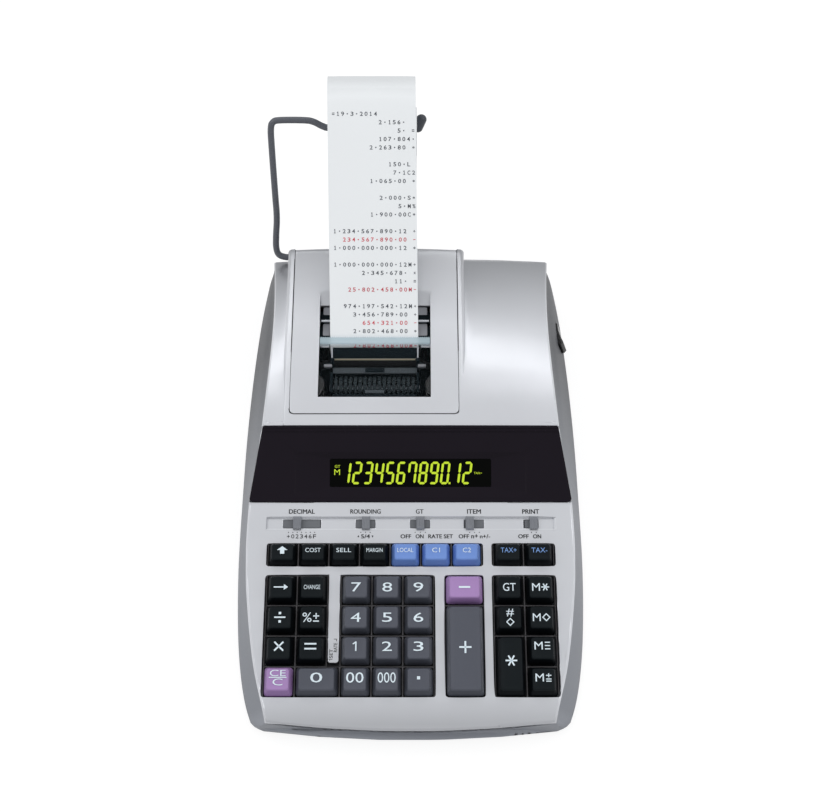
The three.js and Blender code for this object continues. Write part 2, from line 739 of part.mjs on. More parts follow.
function makeDisplayPanel() {
  const blank = new THREE.ExtrudeGeometry(panelShape(-panelBevel), {
    depth: panelThick - panelBevel * 2, bevelEnabled: true, bevelThickness: panelBevel,
    bevelSize: panelBevel, bevelSegments: 1, curveSegments: 2,
  });
  blank.translate(0, 0, panelProud + panelBevel - panelThick);
  const ring = (width, near, depth, radius, z) => outlinePoints(roundedRectangle(width, depth, radius), 2)
    .map((p) => [p.x, z, -(p.y + near + depth / 2)]);
  const sloping = loft([
    ring(windowWidth, windowFront, windowDepth, windowCorner, panelProud - recessSink),
    ring(recessWidth, recessFront, recessDepth, recessCorner, panelProud + gap),
  ]);
  sloping.rotateX(Math.PI / 2);
  const view = roundedRectangle(windowWidth - gap, windowDepth - gap, windowCorner);
  const middle = moved(0, windowFront + windowDepth / 2, 0);
  return cut(solid(blank), solid(sloping), prism(view, -overrun * 2, overrun, middle));
}

function makeDisplayTube() {
  const shape = roundedRectangle(tubeWidth, tubeDepth, recessSink);
  const top = panelProud - panelThick - gap;
  return prism(shape, top - tubeThick, top, moved(0, windowFront + windowDepth / 2, 0));
}

// Lower case: grey tub with the flared side bands, the floor, feet and switch opening
function makeLowerCase() {
  const shell = cut(
    solid(loft(stations.map((y) => lowerRing(y, 0)))),
    solid(loft(hollowStations(wall).map((y) => lowerRing(y, wall)))),
  );
  const feet = [];
  for (const x of [-1, 1]) {
    for (const y of [front + footInset, rear - footInset]) {
      const place = [x * (bodyWidth / 2 - footInset), y, 0];
      feet.push(bar(footRadius, 0, footHeight + wall / 2, 'z', place, 16));
    }
  }
  const boss = bar(glandRadius, rear - wall * 3, rear + glandLength, 'y', [glandX, 0, glandZ]);
  const gland = bar(glandBore, rear - overrun * 3, rear + overrun * 2, 'y', [glandX, 0, glandZ]);
  const switchHole = box(
    [-rockerDepth * 2, -rockerLength / 2 - gap, -rockerHeight / 2 - gap],
    [rockerDepth * 2, rockerLength / 2 + gap, rockerHeight / 2 + gap], switchFrame,
  );
  return cut(join(shell, ...feet, boss), gland, switchHole);
}

// The side wall leans in, so the switch has a frame of its own on the wall's outer face
const wallLean = Math.atan2(skirtX(rockerY) - edgeX(rockerY), rimZ(rockerY) - footHeight);
const rockerWallX = skirtX(rockerY) - (rockerZ - footHeight - bottomRound) * Math.tan(wallLean);
const switchFrame = moved(rockerWallX, rockerY, rockerZ, 0, -wallLean, 0);

// Rocker seen from above: front half standing proud, rear half down
function makeRocker() {
  const half = rockerLength / 2 - slide;
  const shape = new THREE.Shape();
  shape.moveTo(-rockerDepth, -half + rockerDepth / 4);
  shape.lineTo(-rockerDepth, half - rockerDepth / 4);
  shape.lineTo(0, half);
  shape.lineTo(rockerProud / 4, 0);
  shape.lineTo(rockerProud, -half + rockerProud / 2);
  shape.lineTo(rockerProud / 2, -half);
  shape.closePath();
  return prism(shape, -rockerHeight / 2, rockerHeight / 2, new THREE.Matrix4());
}

// Key frame: plate under the deck whose square holes guide the key stems, hung from a rib at each end
function makeKeyFrame() {
  const near = mainWellFront - frameRim * 2;
  const far = topWellFront + topWellDepth + frameRim * 2;
  const half = -leftWellX - wall;
  const ribHalf = half - frameRim;
  const under = -wall - gap;
  const low = plateTop - framePlate;
  const plate = join(
    box([-half, near, low], [half, far, plateTop]),
    box([-ribHalf, near, low], [ribHalf, near + frameRim, under]),
    box([-ribHalf, far - frameRim, low], [ribHalf, far, under]),
  );
  const side = stemSide / 2 + gap;
  const holes = keys.map(
    ([, x, v]) => box([x - side, v - side, low - overrun], [x + side, v + side, overrun]),
  );
  return cut(plate, ...holes);
}

// Key: tapered cap with a dished top, on a square stem
function makeKey(width, depth) {
  const ring = (inset, z) => {
    const shape = roundedRectangle(width - inset * 2, depth - inset * 2, capCorner);
    return outlinePoints(shape, 1).map((p) => [p.x, z, -p.y]);
  };
  const skirt = capRise - capHeight;
  const dish = capTaper + width / 6;
  const cap = loft([ring(0, skirt), ring(capTaper, capRise), ring(dish, capRise - capDish)]);
  cap.rotateX(Math.PI / 2);
  const stem = box(
    [-stemSide / 2, -stemSide / 2, plateTop - framePlate - stemTail],
    [stemSide / 2, stemSide / 2, skirt + wall],
  );
  return join(solid(cap), stem);
}

// Slide knob: ribbed grip above the slot, stem through it, and a foot under the deck
function makeKnob() {
  const floor = -channelSink + gap;
  const gripDepth = channelDepth - slide * 2;
  const stemHalf = slotDepth / 2 - slide;
  const grip = box([-knobWidth / 2, -gripDepth / 2, floor], [knobWidth / 2, gripDepth / 2, knobRise]);
  const ridge = knobWidth / 5;
  const grooves = [-1, 1].map((side) => box(
    [side * ridge - ridge / 2, -channelDepth, knobRise - knobRidge],
    [side * ridge + ridge / 2, channelDepth, overrun],
  ));
  const footTop = -wall - gap;
  const stemSideX = knobStemWidth / 2;
  const footReach = stemHalf + footSide;
  const stem = box([-stemSideX, -stemHalf, footTop - footThick / 2], [stemSideX, stemHalf, floor + gap]);
  const foot = box([-stemSideX, -footReach, footTop - footThick], [stemSideX, footReach, footTop]);
  return join(cut(grip, ...grooves), stem, foot);
}

// Printer cover: lift-off lid with a window opening and a ramp at the window's rear
function makePrinterCover() {
  const sheet = solid(coverSheet(coverFront, coverWidth, 0, -coverThick, coverFlange));
  const shape = sheet.intersect(coverOutline(0));
  const opening = box(
    [-openingWidth / 2, onHump(openingFront), -overrun * 2],
    [openingWidth / 2, onHump(openingRear), overrun * 2], humpFrame,
  );
  const rampRise = humpCrown;
  const rampEnd = onHump(openingRear) + rampLength;
  const rampBlock = box(
    [-openingWidth / 2 - coverThick, onHump(openingRear), -rampSink - coverThick],
    [openingWidth / 2 + coverThick, rampEnd, -coverThick / 2], humpFrame,
  );
  const profile = new THREE.Shape();
  profile.moveTo(onHump(openingRear) - overrun, -rampSink);
  profile.lineTo(onHump(openingRear), -rampSink);
  profile.lineTo(rampEnd, rampRise - humpCrown);
  profile.lineTo(rampEnd, overrun);
  profile.lineTo(onHump(openingRear) - overrun, overrun);
  profile.closePath();
  const upright = new THREE.Matrix4().makeBasis(
    new THREE.Vector3(0, 1, 0), new THREE.Vector3(0, 0, 1), new THREE.Vector3(1, 0, 0),
  );
  const ramp = prism(profile, -openingWidth / 2, openingWidth / 2, humpFrame.clone().multiply(upright));
  return cut(join(shape, rampBlock), ramp, opening);
}

// Clear window below the tape, with a toothed tear edge
function makeTearWindow() {
  const width = openingWidth - gap * 2;
  const near = onHump(openingFront) + gap;
  const far = onHump(tearEdge) - toothHeight;
  const shape = new THREE.Shape();
  shape.moveTo(-width / 2, near);
  shape.lineTo(width / 2, near);
  shape.lineTo(width / 2, far);
  const teeth = Math.round(width / toothPitch);
  for (let n = 0; n < teeth; n += 1) {
    const x = width / 2 - (width * (n + 0.5)) / teeth;
    shape.lineTo(x, far + toothHeight);
    shape.lineTo(x - width / teeth / 2, far);
  }
  shape.closePath();
  const top = -clearSink;
  return prism(shape, top - clearThick, top, humpFrame);
}

const mechanismX = (reach) => [humpCentre - reach, humpCentre + reach];

// Chassis: base plate, cheeks with shaft holes, two guide bars, ribbon pins, comb and spool posts
function makeChassis() {
  const baseTop = chassisBase + chassisThick;
  const parts = [box(
    [humpCentre - chassisReach, chassisFront, chassisBase], [humpCentre + chassisReach, chassisRear, baseTop],
  )];
  const cheekTop = (y) => humpZ(y) - coverThick - gap * 3;
  for (const x of mechanismX(cheekReach)) {
    const side = Math.sign(x - humpCentre) * cheekThick;
    const [low, high] = [Math.min(x, x + side), Math.max(x, x + side)];
    const cheekFront = platenY - platenRadius * 2;
    const cheekRear = guideBarMiddle + guideBarDepth;
    parts.push(box([low, cheekFront, chassisBase], [high, cheekRear, cheekTop(cheekFront)]));
  }
  for (const x of mechanismX(wheelReach)) {
    const side = Math.sign(x - humpCentre) * cheekThick;
    const [low, high] = [Math.min(x, x + side), Math.max(x, x + side)];
    parts.push(box(
      [low, wheelY - wheelRadius, chassisBase],
      [high, wheelY + wheelRadius, wheelZ + wheelRadius],
    ));
  }
  for (const y of [guideBarFront, guideBarMiddle]) {
    const top = humpZ(y) - guideBarSink;
    parts.push(box(
      [humpCentre - guideBarWidth / 2, y, top - guideBarHeight],
      [humpCentre + guideBarWidth / 2, y + guideBarDepth, top],
    ));
    parts.push(...mechanismX(cheekReach - cheekThick).map((x) => box(
      [x - cheekThick * 1.5, y, chassisBase], [x + cheekThick * 1.5, y + guideBarDepth, top],
    )));
  }
  for (const x of mechanismX(ribbonPinReach)) {
    parts.push(bar(ribbonPinSide, chassisBase, ribbonPinTop, 'z', [x, ribbonPinY, 0], 8));
  }
  parts.push(box(
    [humpCentre - wheelReach, combY - combDepth / 2, chassisBase],
    [humpCentre + wheelReach, combY + combDepth / 2, combTop],
  ));
  for (const x of mechanismX(spoolReach)) {
    parts.push(bar(spoolPost, chassisBase, spoolBase + spoolHeight - spoolFlange, 'z', [x, spoolY, 0], 8));
    parts.push(bar(spoolHub, chassisBase, spoolBase - gap, 'z', [x, spoolY, 0], 8));
  }
  const platenHole = bar(shaftRadius + gap, -bodyWidth, bodyWidth, 'x', [0, platenY, platenZ]);
  const wheelHole = bar(shaftRadius + gap, -bodyWidth, bodyWidth, 'x', [0, wheelY, wheelZ]);
  return cut(join(...parts), platenHole, wheelHole);
}

const wheelReach = (wheelCount * wheelPitch) / 2 + gap * 2;

function makePlaten() {
  const [left, right] = mechanismX(platenLength / 2);
  const [shaftLeft, shaftRight] = mechanismX(cheekReach + cheekThick * 2);
  return join(
    bar(platenRadius, left, right, 'x', [0, 0, 0], 20),
    bar(shaftRadius, shaftLeft, shaftRight, 'x', [0, 0, 0], 10),
  );
}

function makeTypeWheels() {
  const [left, right] = mechanismX(wheelReach - gap);
  const [shaftLeft, shaftRight] = mechanismX(wheelReach + cheekThick + gap * 2);
  const wheels = [];
  for (let n = 0; n < wheelCount; n += 1) {
    const x = humpCentre + (n - (wheelCount - 1) / 2) * wheelPitch;
    wheels.push(bar(wheelRadius, x - wheelThick / 2, x + wheelThick / 2, 'x', [0, 0, 0], 10));
  }
  return join(
    bar(wheelBarrel, left, right, 'x', [0, 0, 0], 8),
    bar(shaftRadius, shaftLeft, shaftRight, 'x', [0, 0, 0], 8), ...wheels,
  );
}

// Spool: hub, wound ribbon and two flanges, revolved about its post
function makeSpool() {
  const bore = spoolPost + gap;
  const profile = [
    [bore, 0], [spoolRadius, 0], [spoolRadius, spoolFlange], [spoolWound, spoolFlange],
    [spoolWound, spoolHeight - spoolFlange], [spoolRadius, spoolHeight - spoolFlange],
    [spoolRadius, spoolHeight], [bore, spoolHeight], [bore, 0],
  ].map(([x, y]) => new THREE.Vector2(x, y));
  const geometry = new THREE.LatheGeometry(profile, 20);
  geometry.rotateX(Math.PI / 2);
  return solid(geometry);
}

// A strip of paper that follows a side view path of [y, z] points, with a sideways drift along it
function paperStrip(path, drift) {
  const curve = path.map(([y, z]) => new THREE.Vector2(y, z));
  const lengths = curve.map((p, i) => (i === 0 ? 0 : p.distanceTo(curve[i - 1])));
  const total = lengths.reduce((a, b) => a + b, 0);
  let run = 0;
  const rings = curve.map((p, i) => {
    run += lengths[i];
    const before = curve[Math.max(i - 1, 0)];
    const after = curve[Math.min(i + 1, curve.length - 1)];
    const along = after.clone().sub(before).normalize();
    const [ny, nz] = [-along.y * paperThick / 2, along.x * paperThick / 2];
    const x = (drift * run) / total;
    return [
      [x - paperWidth / 2, p.x - ny, p.y - nz], [x + paperWidth / 2, p.x - ny, p.y - nz],
      [x + paperWidth / 2, p.x + ny, p.y + nz], [x - paperWidth / 2, p.x + ny, p.y + nz],
    ];
  });
  return loft(rings);
}

// The tape comes up in front of the platen, wraps it to the tape's lean, and runs out past the tear edge
function tapePath() {
  const reach = platenRadius + gap + paperThick / 2;
  const points = [[platenY - reach, platenZ - platenRadius]];
  for (const share of [0, 0.33, 0.67, 1]) {
    const angle = Math.PI / 2 + (tapeLean - Math.PI / 2) * share;
    points.push([platenY - reach * Math.sin(angle), platenZ + reach * Math.cos(angle)]);
  }
  const [leaveY, leaveZ] = points.at(-1);
  for (const share of [0.05, 0.35, 0.7, 1]) {
    const run = tapeLength * share;
    points.push([leaveY + run * Math.cos(tapeLean), leaveZ + run * Math.sin(tapeLean)]);
  }
  const [endY, endZ] = points.at(-1);
  for (const share of [0.25, 0.5, 0.75, 1]) {
    const angle = tapeLean - share * (Math.PI / 2);
    points.push([
      endY + tapeCurl * (Math.sin(tapeLean) - Math.sin(angle)),
      endZ - tapeCurl * (Math.cos(tapeLean) - Math.cos(angle)),
    ]);
  }
  const [lastY, lastZ] = points.at(-1);
  const tail = tapeLean - Math.PI / 2;
  points.push([lastY + tapeTail * Math.cos(tail), lastZ + tapeTail * Math.sin(tail)]);
  return points;
}

// The wire holder lies in one plane: x across and u up the plane from its pivot
function wirePath() {
  const left = -wireSide;
  const seat = paperWidth / 2 + wireDiameter;
  const top = wireReach;
  const low = wireReach - wireSeatDrop;
  const points = [
    [-wireInnerReach, 0], [left + wireBend * 2, 0], [left + wireBend, 0], [left + wireBend / 4, wireBend / 3],
    [left, wireBend * 1.2], [left, wireKink - wireBend], [left + wireKinkStep, wireKink],
    [left + wireKinkStep, wireKink + wireBend], [left, top - wireBend * 3], [left, top - wireBend],
    [left + wireBend / 4, top - wireBend / 4], [left + wireBend, top],
    [-seat - wireBend * 2, top], [-seat - wireBend, top - wireDiameter / 4], [-seat, low + wireDiameter / 4],
    [-seat + wireBend, low], [0, low], [seat - wireBend, low], [seat, low + wireDiameter / 4],
    [seat + wireTipStep * 0.6, low + wireTipRise / 2], [seat + wireTipStep, low + wireTipRise],
  ];
  const route = points.map(([x, u]) => new THREE.Vector3(x, 0, u));
  return new THREE.CatmullRomCurve3(route, false, 'catmullrom', 0.4);
}

function makeWire() {
  const section = new THREE.Shape();
  section.absarc(0, 0, wireDiameter / 2, 0, Math.PI * 2);
  const geometry = new THREE.ExtrudeGeometry(section, {
    extrudePath: wirePath(), steps: 46, curveSegments: 4, bevelEnabled: false,
  });
  return solid(geometry);
}

const seatDrop = rollBore / 2 - wireDiameter / 2 - gap;
const seatReach = wireReach - wireSeatDrop;
const rollY = wirePivotY + seatReach * Math.sin(wireLean);
const rollZ = wirePivotZ + seatReach * Math.cos(wireLean) - seatDrop;

function makeRoll() {
  const [outer, inner, half] = [rollDiameter / 2, rollBore / 2, paperWidth / 2];
  const profile = [[inner, -half], [outer, -half], [outer, half], [inner, half], [inner, -half]]
    .map(([x, y]) => new THREE.Vector2(x, y));
  const geometry = new THREE.LatheGeometry(profile, 28);
  geometry.rotateZ(Math.PI / 2);
  return solid(geometry);
}

// The web leaves the roll's rear side and runs down to the slot behind the hump
function webPath() {
  const reach = rollDiameter / 2 + gap + paperThick;
  const slotEnd = [humpRear + gap * 4, slotZ];
  const span = Math.hypot(rollY - slotEnd[0], rollZ - slotEnd[1]);
  const direction = Math.atan2(rollZ - slotEnd[1], rollY - slotEnd[0]);
  const angle = direction - Math.asin(reach / span);
  const straight = Math.sqrt(span * span - reach * reach);
  const touch = [slotEnd[0] + straight * Math.cos(angle), slotEnd[1] + straight * Math.sin(angle)];
  const middle = [(slotEnd[0] + touch[0]) / 2, (slotEnd[1] + touch[1]) / 2];
  const wrap = [0.35, 0.7].map((turn) => [
    rollY + reach * Math.sin(angle + turn), rollZ - reach * Math.cos(angle + turn),
  ]);
  return [slotEnd, middle, touch, ...wrap];
}

// Assembly
const calculator = new THREE.Group();
const assembly = new THREE.Group();
calculator.add(assembly);
const deck = new THREE.Group();
deck.position.set(0, deckY, deckFrontHeight);
deck.rotation.x = deckSlope;
const panel = new THREE.Group();
panel.position.set(0, panelY, panelZ);
panel.rotation.x = panelSlope;
const holder = new THREE.Group();
holder.position.set(wireCentre, wirePivotY, wirePivotZ);
holder.rotation.x = -wireLean;
assembly.add(deck, panel, holder);

function add(parent, name, body, color, roughness, metalness = 0) {
  const geometry = body.isBufferGeometry ? body : geometryOf(body);
  const mesh = new THREE.Mesh(geometry, new THREE.MeshStandardMaterial({ color, roughness, metalness }));
  mesh.name = name;
  parent.add(mesh);
  return mesh;
}

add(assembly, 'lower_case', makeLowerCase(), 0x7f8289, 0.5);
add(assembly, 'upper_case', makeUpperCase(), 0xc9ccd4, 0.35, 0.5);
add(panel, 'display_panel', makeDisplayPanel(), 0x120f14, 0.1);
add(panel, 'display_tube', makeDisplayTube(), 0x14281c, 0.2);
add(assembly, 'printer_cover', makePrinterCover(), 0xc9ccd4, 0.35, 0.5);
add(assembly, 'tear_window', makeTearWindow(), 0xb9ccd2, 0.1);
add(assembly, 'printer_chassis', makeChassis(), 0x2b3236, 0.5);
add(assembly, 'platen_roller', makePlaten(), 0x1b1b1d, 0.8).position.set(0, platenY, platenZ);
add(assembly, 'type_wheels', makeTypeWheels(), 0x3c4245, 0.4, 0.4).position.set(0, wheelY, wheelZ);
for (const [side, x] of [['left', mechanismX(spoolReach)[0]], ['right', mechanismX(spoolReach)[1]]]) {
  add(assembly, `ribbon_spool_${side}`, makeSpool(), 0x26282b, 0.5).position.set(x, spoolY, spoolBase);
}
add(holder, 'roll_holder', makeWire(), 0x4b4e54, 0.35, 0.3);
add(assembly, 'paper_roll', makeRoll(), 0xeef1f3, 0.8).position.set(wireCentre, rollY, rollZ);
add(assembly, 'paper_web', paperStrip(webPath(), 0), 0xeef1f3, 0.8).position.x = wireCentre;
add(assembly, 'paper_tape', paperStrip(tapePath(), -tapeDrift), 0xf1f6f9, 0.8).position.x = humpCentre - gap;
const rocker = add(assembly, 'power_switch', makeRocker(), 0x17181b, 0.4);
rocker.position.set(rockerWallX, rockerY, rockerZ);
rocker.rotation.y = -wallLean;
add(deck, 'key_frame', makeKeyFrame(), 0x16181b, 0.6);
for (const [name, x, v, width, depth, color] of keys) {
  add(deck, `key_${name}`, makeKey(width, depth), color, 0.45).position.set(x, v, 0);
}
for (const [name, x] of sliders) {
  add(deck, `slide_${name}`, makeKnob(), 0x6e7178, 0.5).position.set(x, channelCentre, 0);
}

// The origin is under the middle of the whole machine, roll and tape included
calculator.updateMatrixWorld(true);
const bounds = new THREE.Box3().setFromObject(calculator);
assembly.position.set(0, -(bounds.min.y + bounds.max.y) / 2, 0);

export default calculator;
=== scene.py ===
# %% [markdown]
# # A desk-top printing calculator
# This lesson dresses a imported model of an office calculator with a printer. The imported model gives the
# exact places and the bodies that move. Each step looks at one piece of the real machine, says how it is
# made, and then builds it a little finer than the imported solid.

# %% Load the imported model
import json
import math

import bmesh
import bpy
import numpy
from mathutils import Matrix, Vector


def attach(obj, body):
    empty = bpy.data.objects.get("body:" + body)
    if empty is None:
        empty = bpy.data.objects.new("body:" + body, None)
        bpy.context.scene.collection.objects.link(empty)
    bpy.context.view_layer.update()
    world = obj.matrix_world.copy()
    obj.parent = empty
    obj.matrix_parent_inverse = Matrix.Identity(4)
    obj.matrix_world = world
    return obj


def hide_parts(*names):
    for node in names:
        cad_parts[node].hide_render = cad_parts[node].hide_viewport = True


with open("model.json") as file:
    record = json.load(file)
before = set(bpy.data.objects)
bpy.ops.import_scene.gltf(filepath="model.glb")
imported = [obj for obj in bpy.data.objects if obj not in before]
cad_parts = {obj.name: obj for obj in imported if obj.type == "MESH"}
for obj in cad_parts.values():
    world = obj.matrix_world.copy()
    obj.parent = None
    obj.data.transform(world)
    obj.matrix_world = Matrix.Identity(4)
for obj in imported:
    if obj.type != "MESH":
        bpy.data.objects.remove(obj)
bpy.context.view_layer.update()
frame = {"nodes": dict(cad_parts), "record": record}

# %% [markdown]
# ## Camera
# The picture is taken from the user's side, high up: 58 degrees above the table, a little under a metre
# away, with a long lens, so that the sides of the machine stay nearly parallel. The lens could be zoomed
# to taste, but a fitted distance gives the same taper as the picture.

# %% Camera
CAMERA_ELEVATION = 58
CAMERA_PLACE = (0, -0.5024, 0.8676)
CAMERA_LENS = 65.12

lens = bpy.data.cameras.new("camera")
lens.sensor_fit = "HORIZONTAL"
lens.sensor_width = 36
lens.lens = CAMERA_LENS
camera = bpy.data.objects.new("camera", lens)
camera.location = CAMERA_PLACE
camera.rotation_euler = (math.radians(90 - CAMERA_ELEVATION), 0, 0)
bpy.context.scene.collection.objects.link(camera)
bpy.context.scene.camera = camera
bpy.context.scene.view_settings.view_transform = "Standard"
print("camera at", CAMERA_PLACE)

# %% [markdown]
# ## Studio
# Product pictures are taken between large soft lamps, with weaker fill from all round. Two boxes stand
# high at the left and the right and draw the soft bands across the silver shoulders. A long narrow one
# behind the machine draws the light line along its far edges. The floor and the world look white to the
# camera and through clear parts, but give the object only a weaker, plain light.

# %% Studio
FILL_COLOUR, FILL_STRENGTH = (0.93, 0.96, 1, 1), 0.3
FLOOR_HALF, FLOOR_DROP = 6, 0.0004
FLOOR_COLOUR, FLOOR_GLOW, GLOW_SHARE = (0.9, 0.9, 0.9, 1), (1.16, 1.16, 1.16, 1), 0.72
# Name, place, aim, width, depth and watts
LAMPS = (
    ("left_box", (-1.05, 0.0, 1.15), (0, -0.02, 0), 0.9, 0.9, 3.8),
    ("right_box", (1.05, 0.0, 1.15), (0, -0.02, 0), 0.9, 0.9, 3.5),
    ("highlight", (0, 0.78, 1.12), (0, 0.03, 0.06), 1.8, 0.16, 2.1),
)


def linked(tree, start, end):
    """Joins an output socket to an input socket."""
    tree.links.new(start, end)


def node(tree, kind, values):
    """A new shader node, with its constants set straight on its sockets."""
    made = tree.nodes.new(kind)
    for socket, value in values.items():
        made.inputs[socket].default_value = value
    return made


def seen_directly(tree):
    """The ray kinds, and a node that gives 1 for camera and see-through rays, or else its second input."""
    path = tree.nodes.new("ShaderNodeLightPath")
    first, second = (tree.nodes.new("ShaderNodeMath") for _ in range(2))
    first.operation = second.operation = "MAXIMUM"
    linked(tree, path.outputs["Is Camera Ray"], first.inputs[0])
    linked(tree, path.outputs["Is Transmission Ray"], first.inputs[1])
    linked(tree, first.outputs[0], second.inputs[0])
    return path, second


def mixed_to(tree, mix, first, second, out):
    """Sends two shaders through a mix to the output."""
    linked(tree, first.outputs[0], mix.inputs[1])
    linked(tree, second.outputs[0], mix.inputs[2])
    linked(tree, mix.outputs[0], out.inputs[0])


def make_world():
    world = bpy.data.worlds.new("studio")
    bpy.context.scene.world = world
    world.use_nodes = True
    tree = world.node_tree
    tree.nodes.clear()
    _, seen = seen_directly(tree)
    fill = node(tree, "ShaderNodeBackground", {"Color": FILL_COLOUR, "Strength": FILL_STRENGTH})
    white = node(tree, "ShaderNodeBackground", {"Color": (1, 1, 1, 1), "Strength": 1})
    mix = tree.nodes.new("ShaderNodeMixShader")
    linked(tree, seen.outputs[0], mix.inputs[0])
    mixed_to(tree, mix, fill, white, tree.nodes.new("ShaderNodeOutputWorld"))


def make_floor():
    bm = bmesh.new()
    bmesh.ops.create_grid(bm, x_segments=1, y_segments=1, size=FLOOR_HALF)
    bmesh.ops.translate(bm, verts=bm.verts, vec=(0, 0, -FLOOR_DROP))
    mesh = bpy.data.meshes.new("floor")
    bm.to_mesh(mesh)
    bm.free()
    floor = bpy.data.objects.new("floor", mesh)
    bpy.context.scene.collection.objects.link(floor)
    paint = bpy.data.materials.new("white_floor")
    paint.use_nodes = True
    tree = paint.node_tree
    tree.nodes.clear()
    cloth = node(tree, "ShaderNodeBsdfDiffuse", {"Color": FLOOR_COLOUR})
    glow = node(tree, "ShaderNodeEmission", {"Color": FLOOR_GLOW})
    path, seen = seen_directly(tree)
    linked(tree, path.outputs["Is Glossy Ray"], seen.inputs[1])
    linked(tree, seen.outputs[0], glow.inputs["Strength"])
    mix = node(tree, "ShaderNodeMixShader", {0: GLOW_SHARE})
    mixed_to(tree, mix, cloth, glow, tree.nodes.new("ShaderNodeOutputMaterial"))
    mesh.materials.append(paint)


def soft_lamp(name, place, target, width, depth, watts):
    lamp = bpy.data.lights.new(name, "AREA")
    lamp.shape = "RECTANGLE"
    lamp.size = width
    lamp.size_y = depth
    lamp.energy = watts
    holder = bpy.data.objects.new(name, lamp)
    holder.location = place
    aim = Vector(target) - Vector(place)
    holder.rotation_euler = aim.to_track_quat("-Z", "Y").to_euler()
    bpy.context.scene.collection.objects.link(holder)


make_world()
make_floor()
for lamp_row in LAMPS:
    soft_lamp(*lamp_row)
print("studio lamps:", len(LAMPS))

# %% [markdown]
# ## Making things
# Sizes are thought of in millimetres, so every piece is modelled in millimetres in a handy frame of its
# own, such as the sloping deck, and is turned into place at the end. The object itself stays at the
# origin, because a pattern on Object coordinates must not slide when a body moves.

# %% Frames and the piece maker
TO_METRES = Matrix.Scale(0.001, 4)
TO_MM = Matrix.Scale(1000, 4)
SHIFT_Y = -33.1145
DECK_SLOPE = math.radians(8.4)
PANEL_SLOPE = math.radians(25.1)
QUARTER = math.radians(90)
MIDDLE_X = -23.2


def place(x, y, z, turn=0, axis="X"):
    """A frame in millimetres, turned about one axis."""
    return Matrix.Translation((x, y, z)) @ Matrix.Rotation(turn, 4, axis)


LEVEL = place(0, SHIFT_Y, 0)
DECK = place(0, -167 + SHIFT_Y, 21, DECK_SLOPE)
PANEL = place(0, -57.8572, 42.0067, PANEL_SLOPE)


def local_box(node_name, where):
    """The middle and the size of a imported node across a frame, and its lowest and highest point there."""
    turn_back = where.inverted() @ TO_MM
    points = [turn_back @ v.co for v in frame["nodes"][node_name].data.vertices]
    low = Vector(min(p[i] for p in points) for i in range(3))
    high = Vector(max(p[i] for p in points) for i in range(3))
    return ((low.x + high.x) / 2, (low.y + high.y) / 2), high.x - low.x, high.y - low.y, low.z, high.z


def make_piece(name, bm, body, paints, where=Matrix(), stands_for=(), sharp=35):
    """Turns a bmesh in millimetres into a finished object that rides on a body."""
    bmesh.ops.transform(bm, matrix=TO_METRES @ where, verts=bm.verts)
    mesh = bpy.data.meshes.new(name)
    bm.to_mesh(mesh)
    bm.free()
    for paint in paints:
        mesh.materials.append(paint)
    mesh.polygons.foreach_set("use_smooth", [True] * len(mesh.polygons))
    mesh.set_sharp_from_angle(angle=math.radians(sharp))
    obj = bpy.data.objects.new(name, mesh)
    bpy.context.scene.collection.objects.link(obj)
    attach(obj, body)
    if stands_for:
        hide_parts(*stands_for)
    return obj


print("deck frame at", tuple(round(c, 1) for c in DECK.translation))

# %% [markdown]
# ## Simple forms
# Most small parts are blocks, bars and stacks of rounded rectangles. They could be modelled by hand, but
# a few short recipes keep their sizes readable and their faces closed.

# %% Blocks, bars and stacks


def box(bm, where, size):
    """A block of a width, depth and height."""
    bmesh.ops.create_cube(bm, size=1, matrix=where @ Matrix.Diagonal((*size, 1)))


def bar_round(bm, where, radius, length, segments, top_radius=None):
    """A round bar along a frame's Z."""
    return bmesh.ops.create_cone(
        bm, cap_ends=True, segments=segments, radius1=radius, radius2=top_radius or radius, depth=length,
        matrix=where,
    )["verts"]


def points_of(geometry):
    return [g for g in geometry if isinstance(g, bmesh.types.BMVert)]


def shift_new(bm, first, by):
    """Moves the points made since there were so many of them."""
    bm.verts.ensure_lookup_table()
    bmesh.ops.translate(bm, vec=by, verts=bm.verts[first:])


def paint_new(bm, first, material):
    """Gives a material to the faces made since there were so many of them."""
    bm.faces.ensure_lookup_table()
    for face in bm.faces[first:]:
        face.material_index = material


def rounded_plate(bm, width, depth, radius, z, centre, segments=4):
    """A flat face with rounded corners."""
    made = bmesh.ops.create_grid(bm, x_segments=1, y_segments=1, size=0.5)["verts"]
    bmesh.ops.scale(bm, vec=(width, depth, 1), verts=made)
    bmesh.ops.translate(bm, vec=(centre[0], centre[1], z), verts=made)
    if radius:
        made = bmesh.ops.bevel(
            bm, geom=made, offset=radius, segments=segments, profile=0.5, affect="VERTICES", material=-1,
        )["verts"]
    return made[0].link_faces[0]


def resize_ring(face, width, depth, z, x, y):
    """Moves a face's corners so that it has a new width, depth, height and middle."""
    low_x, high_x = min(v.co.x for v in face.verts), max(v.co.x for v in face.verts)
    low_y, high_y = min(v.co.y for v in face.verts), max(v.co.y for v in face.verts)
    for v in face.verts:
        across = (v.co.x - low_x) / (high_x - low_x) - 0.5
        along = (v.co.y - low_y) / (high_y - low_y) - 0.5
        v.co = (x + across * width, y + along * depth, z)


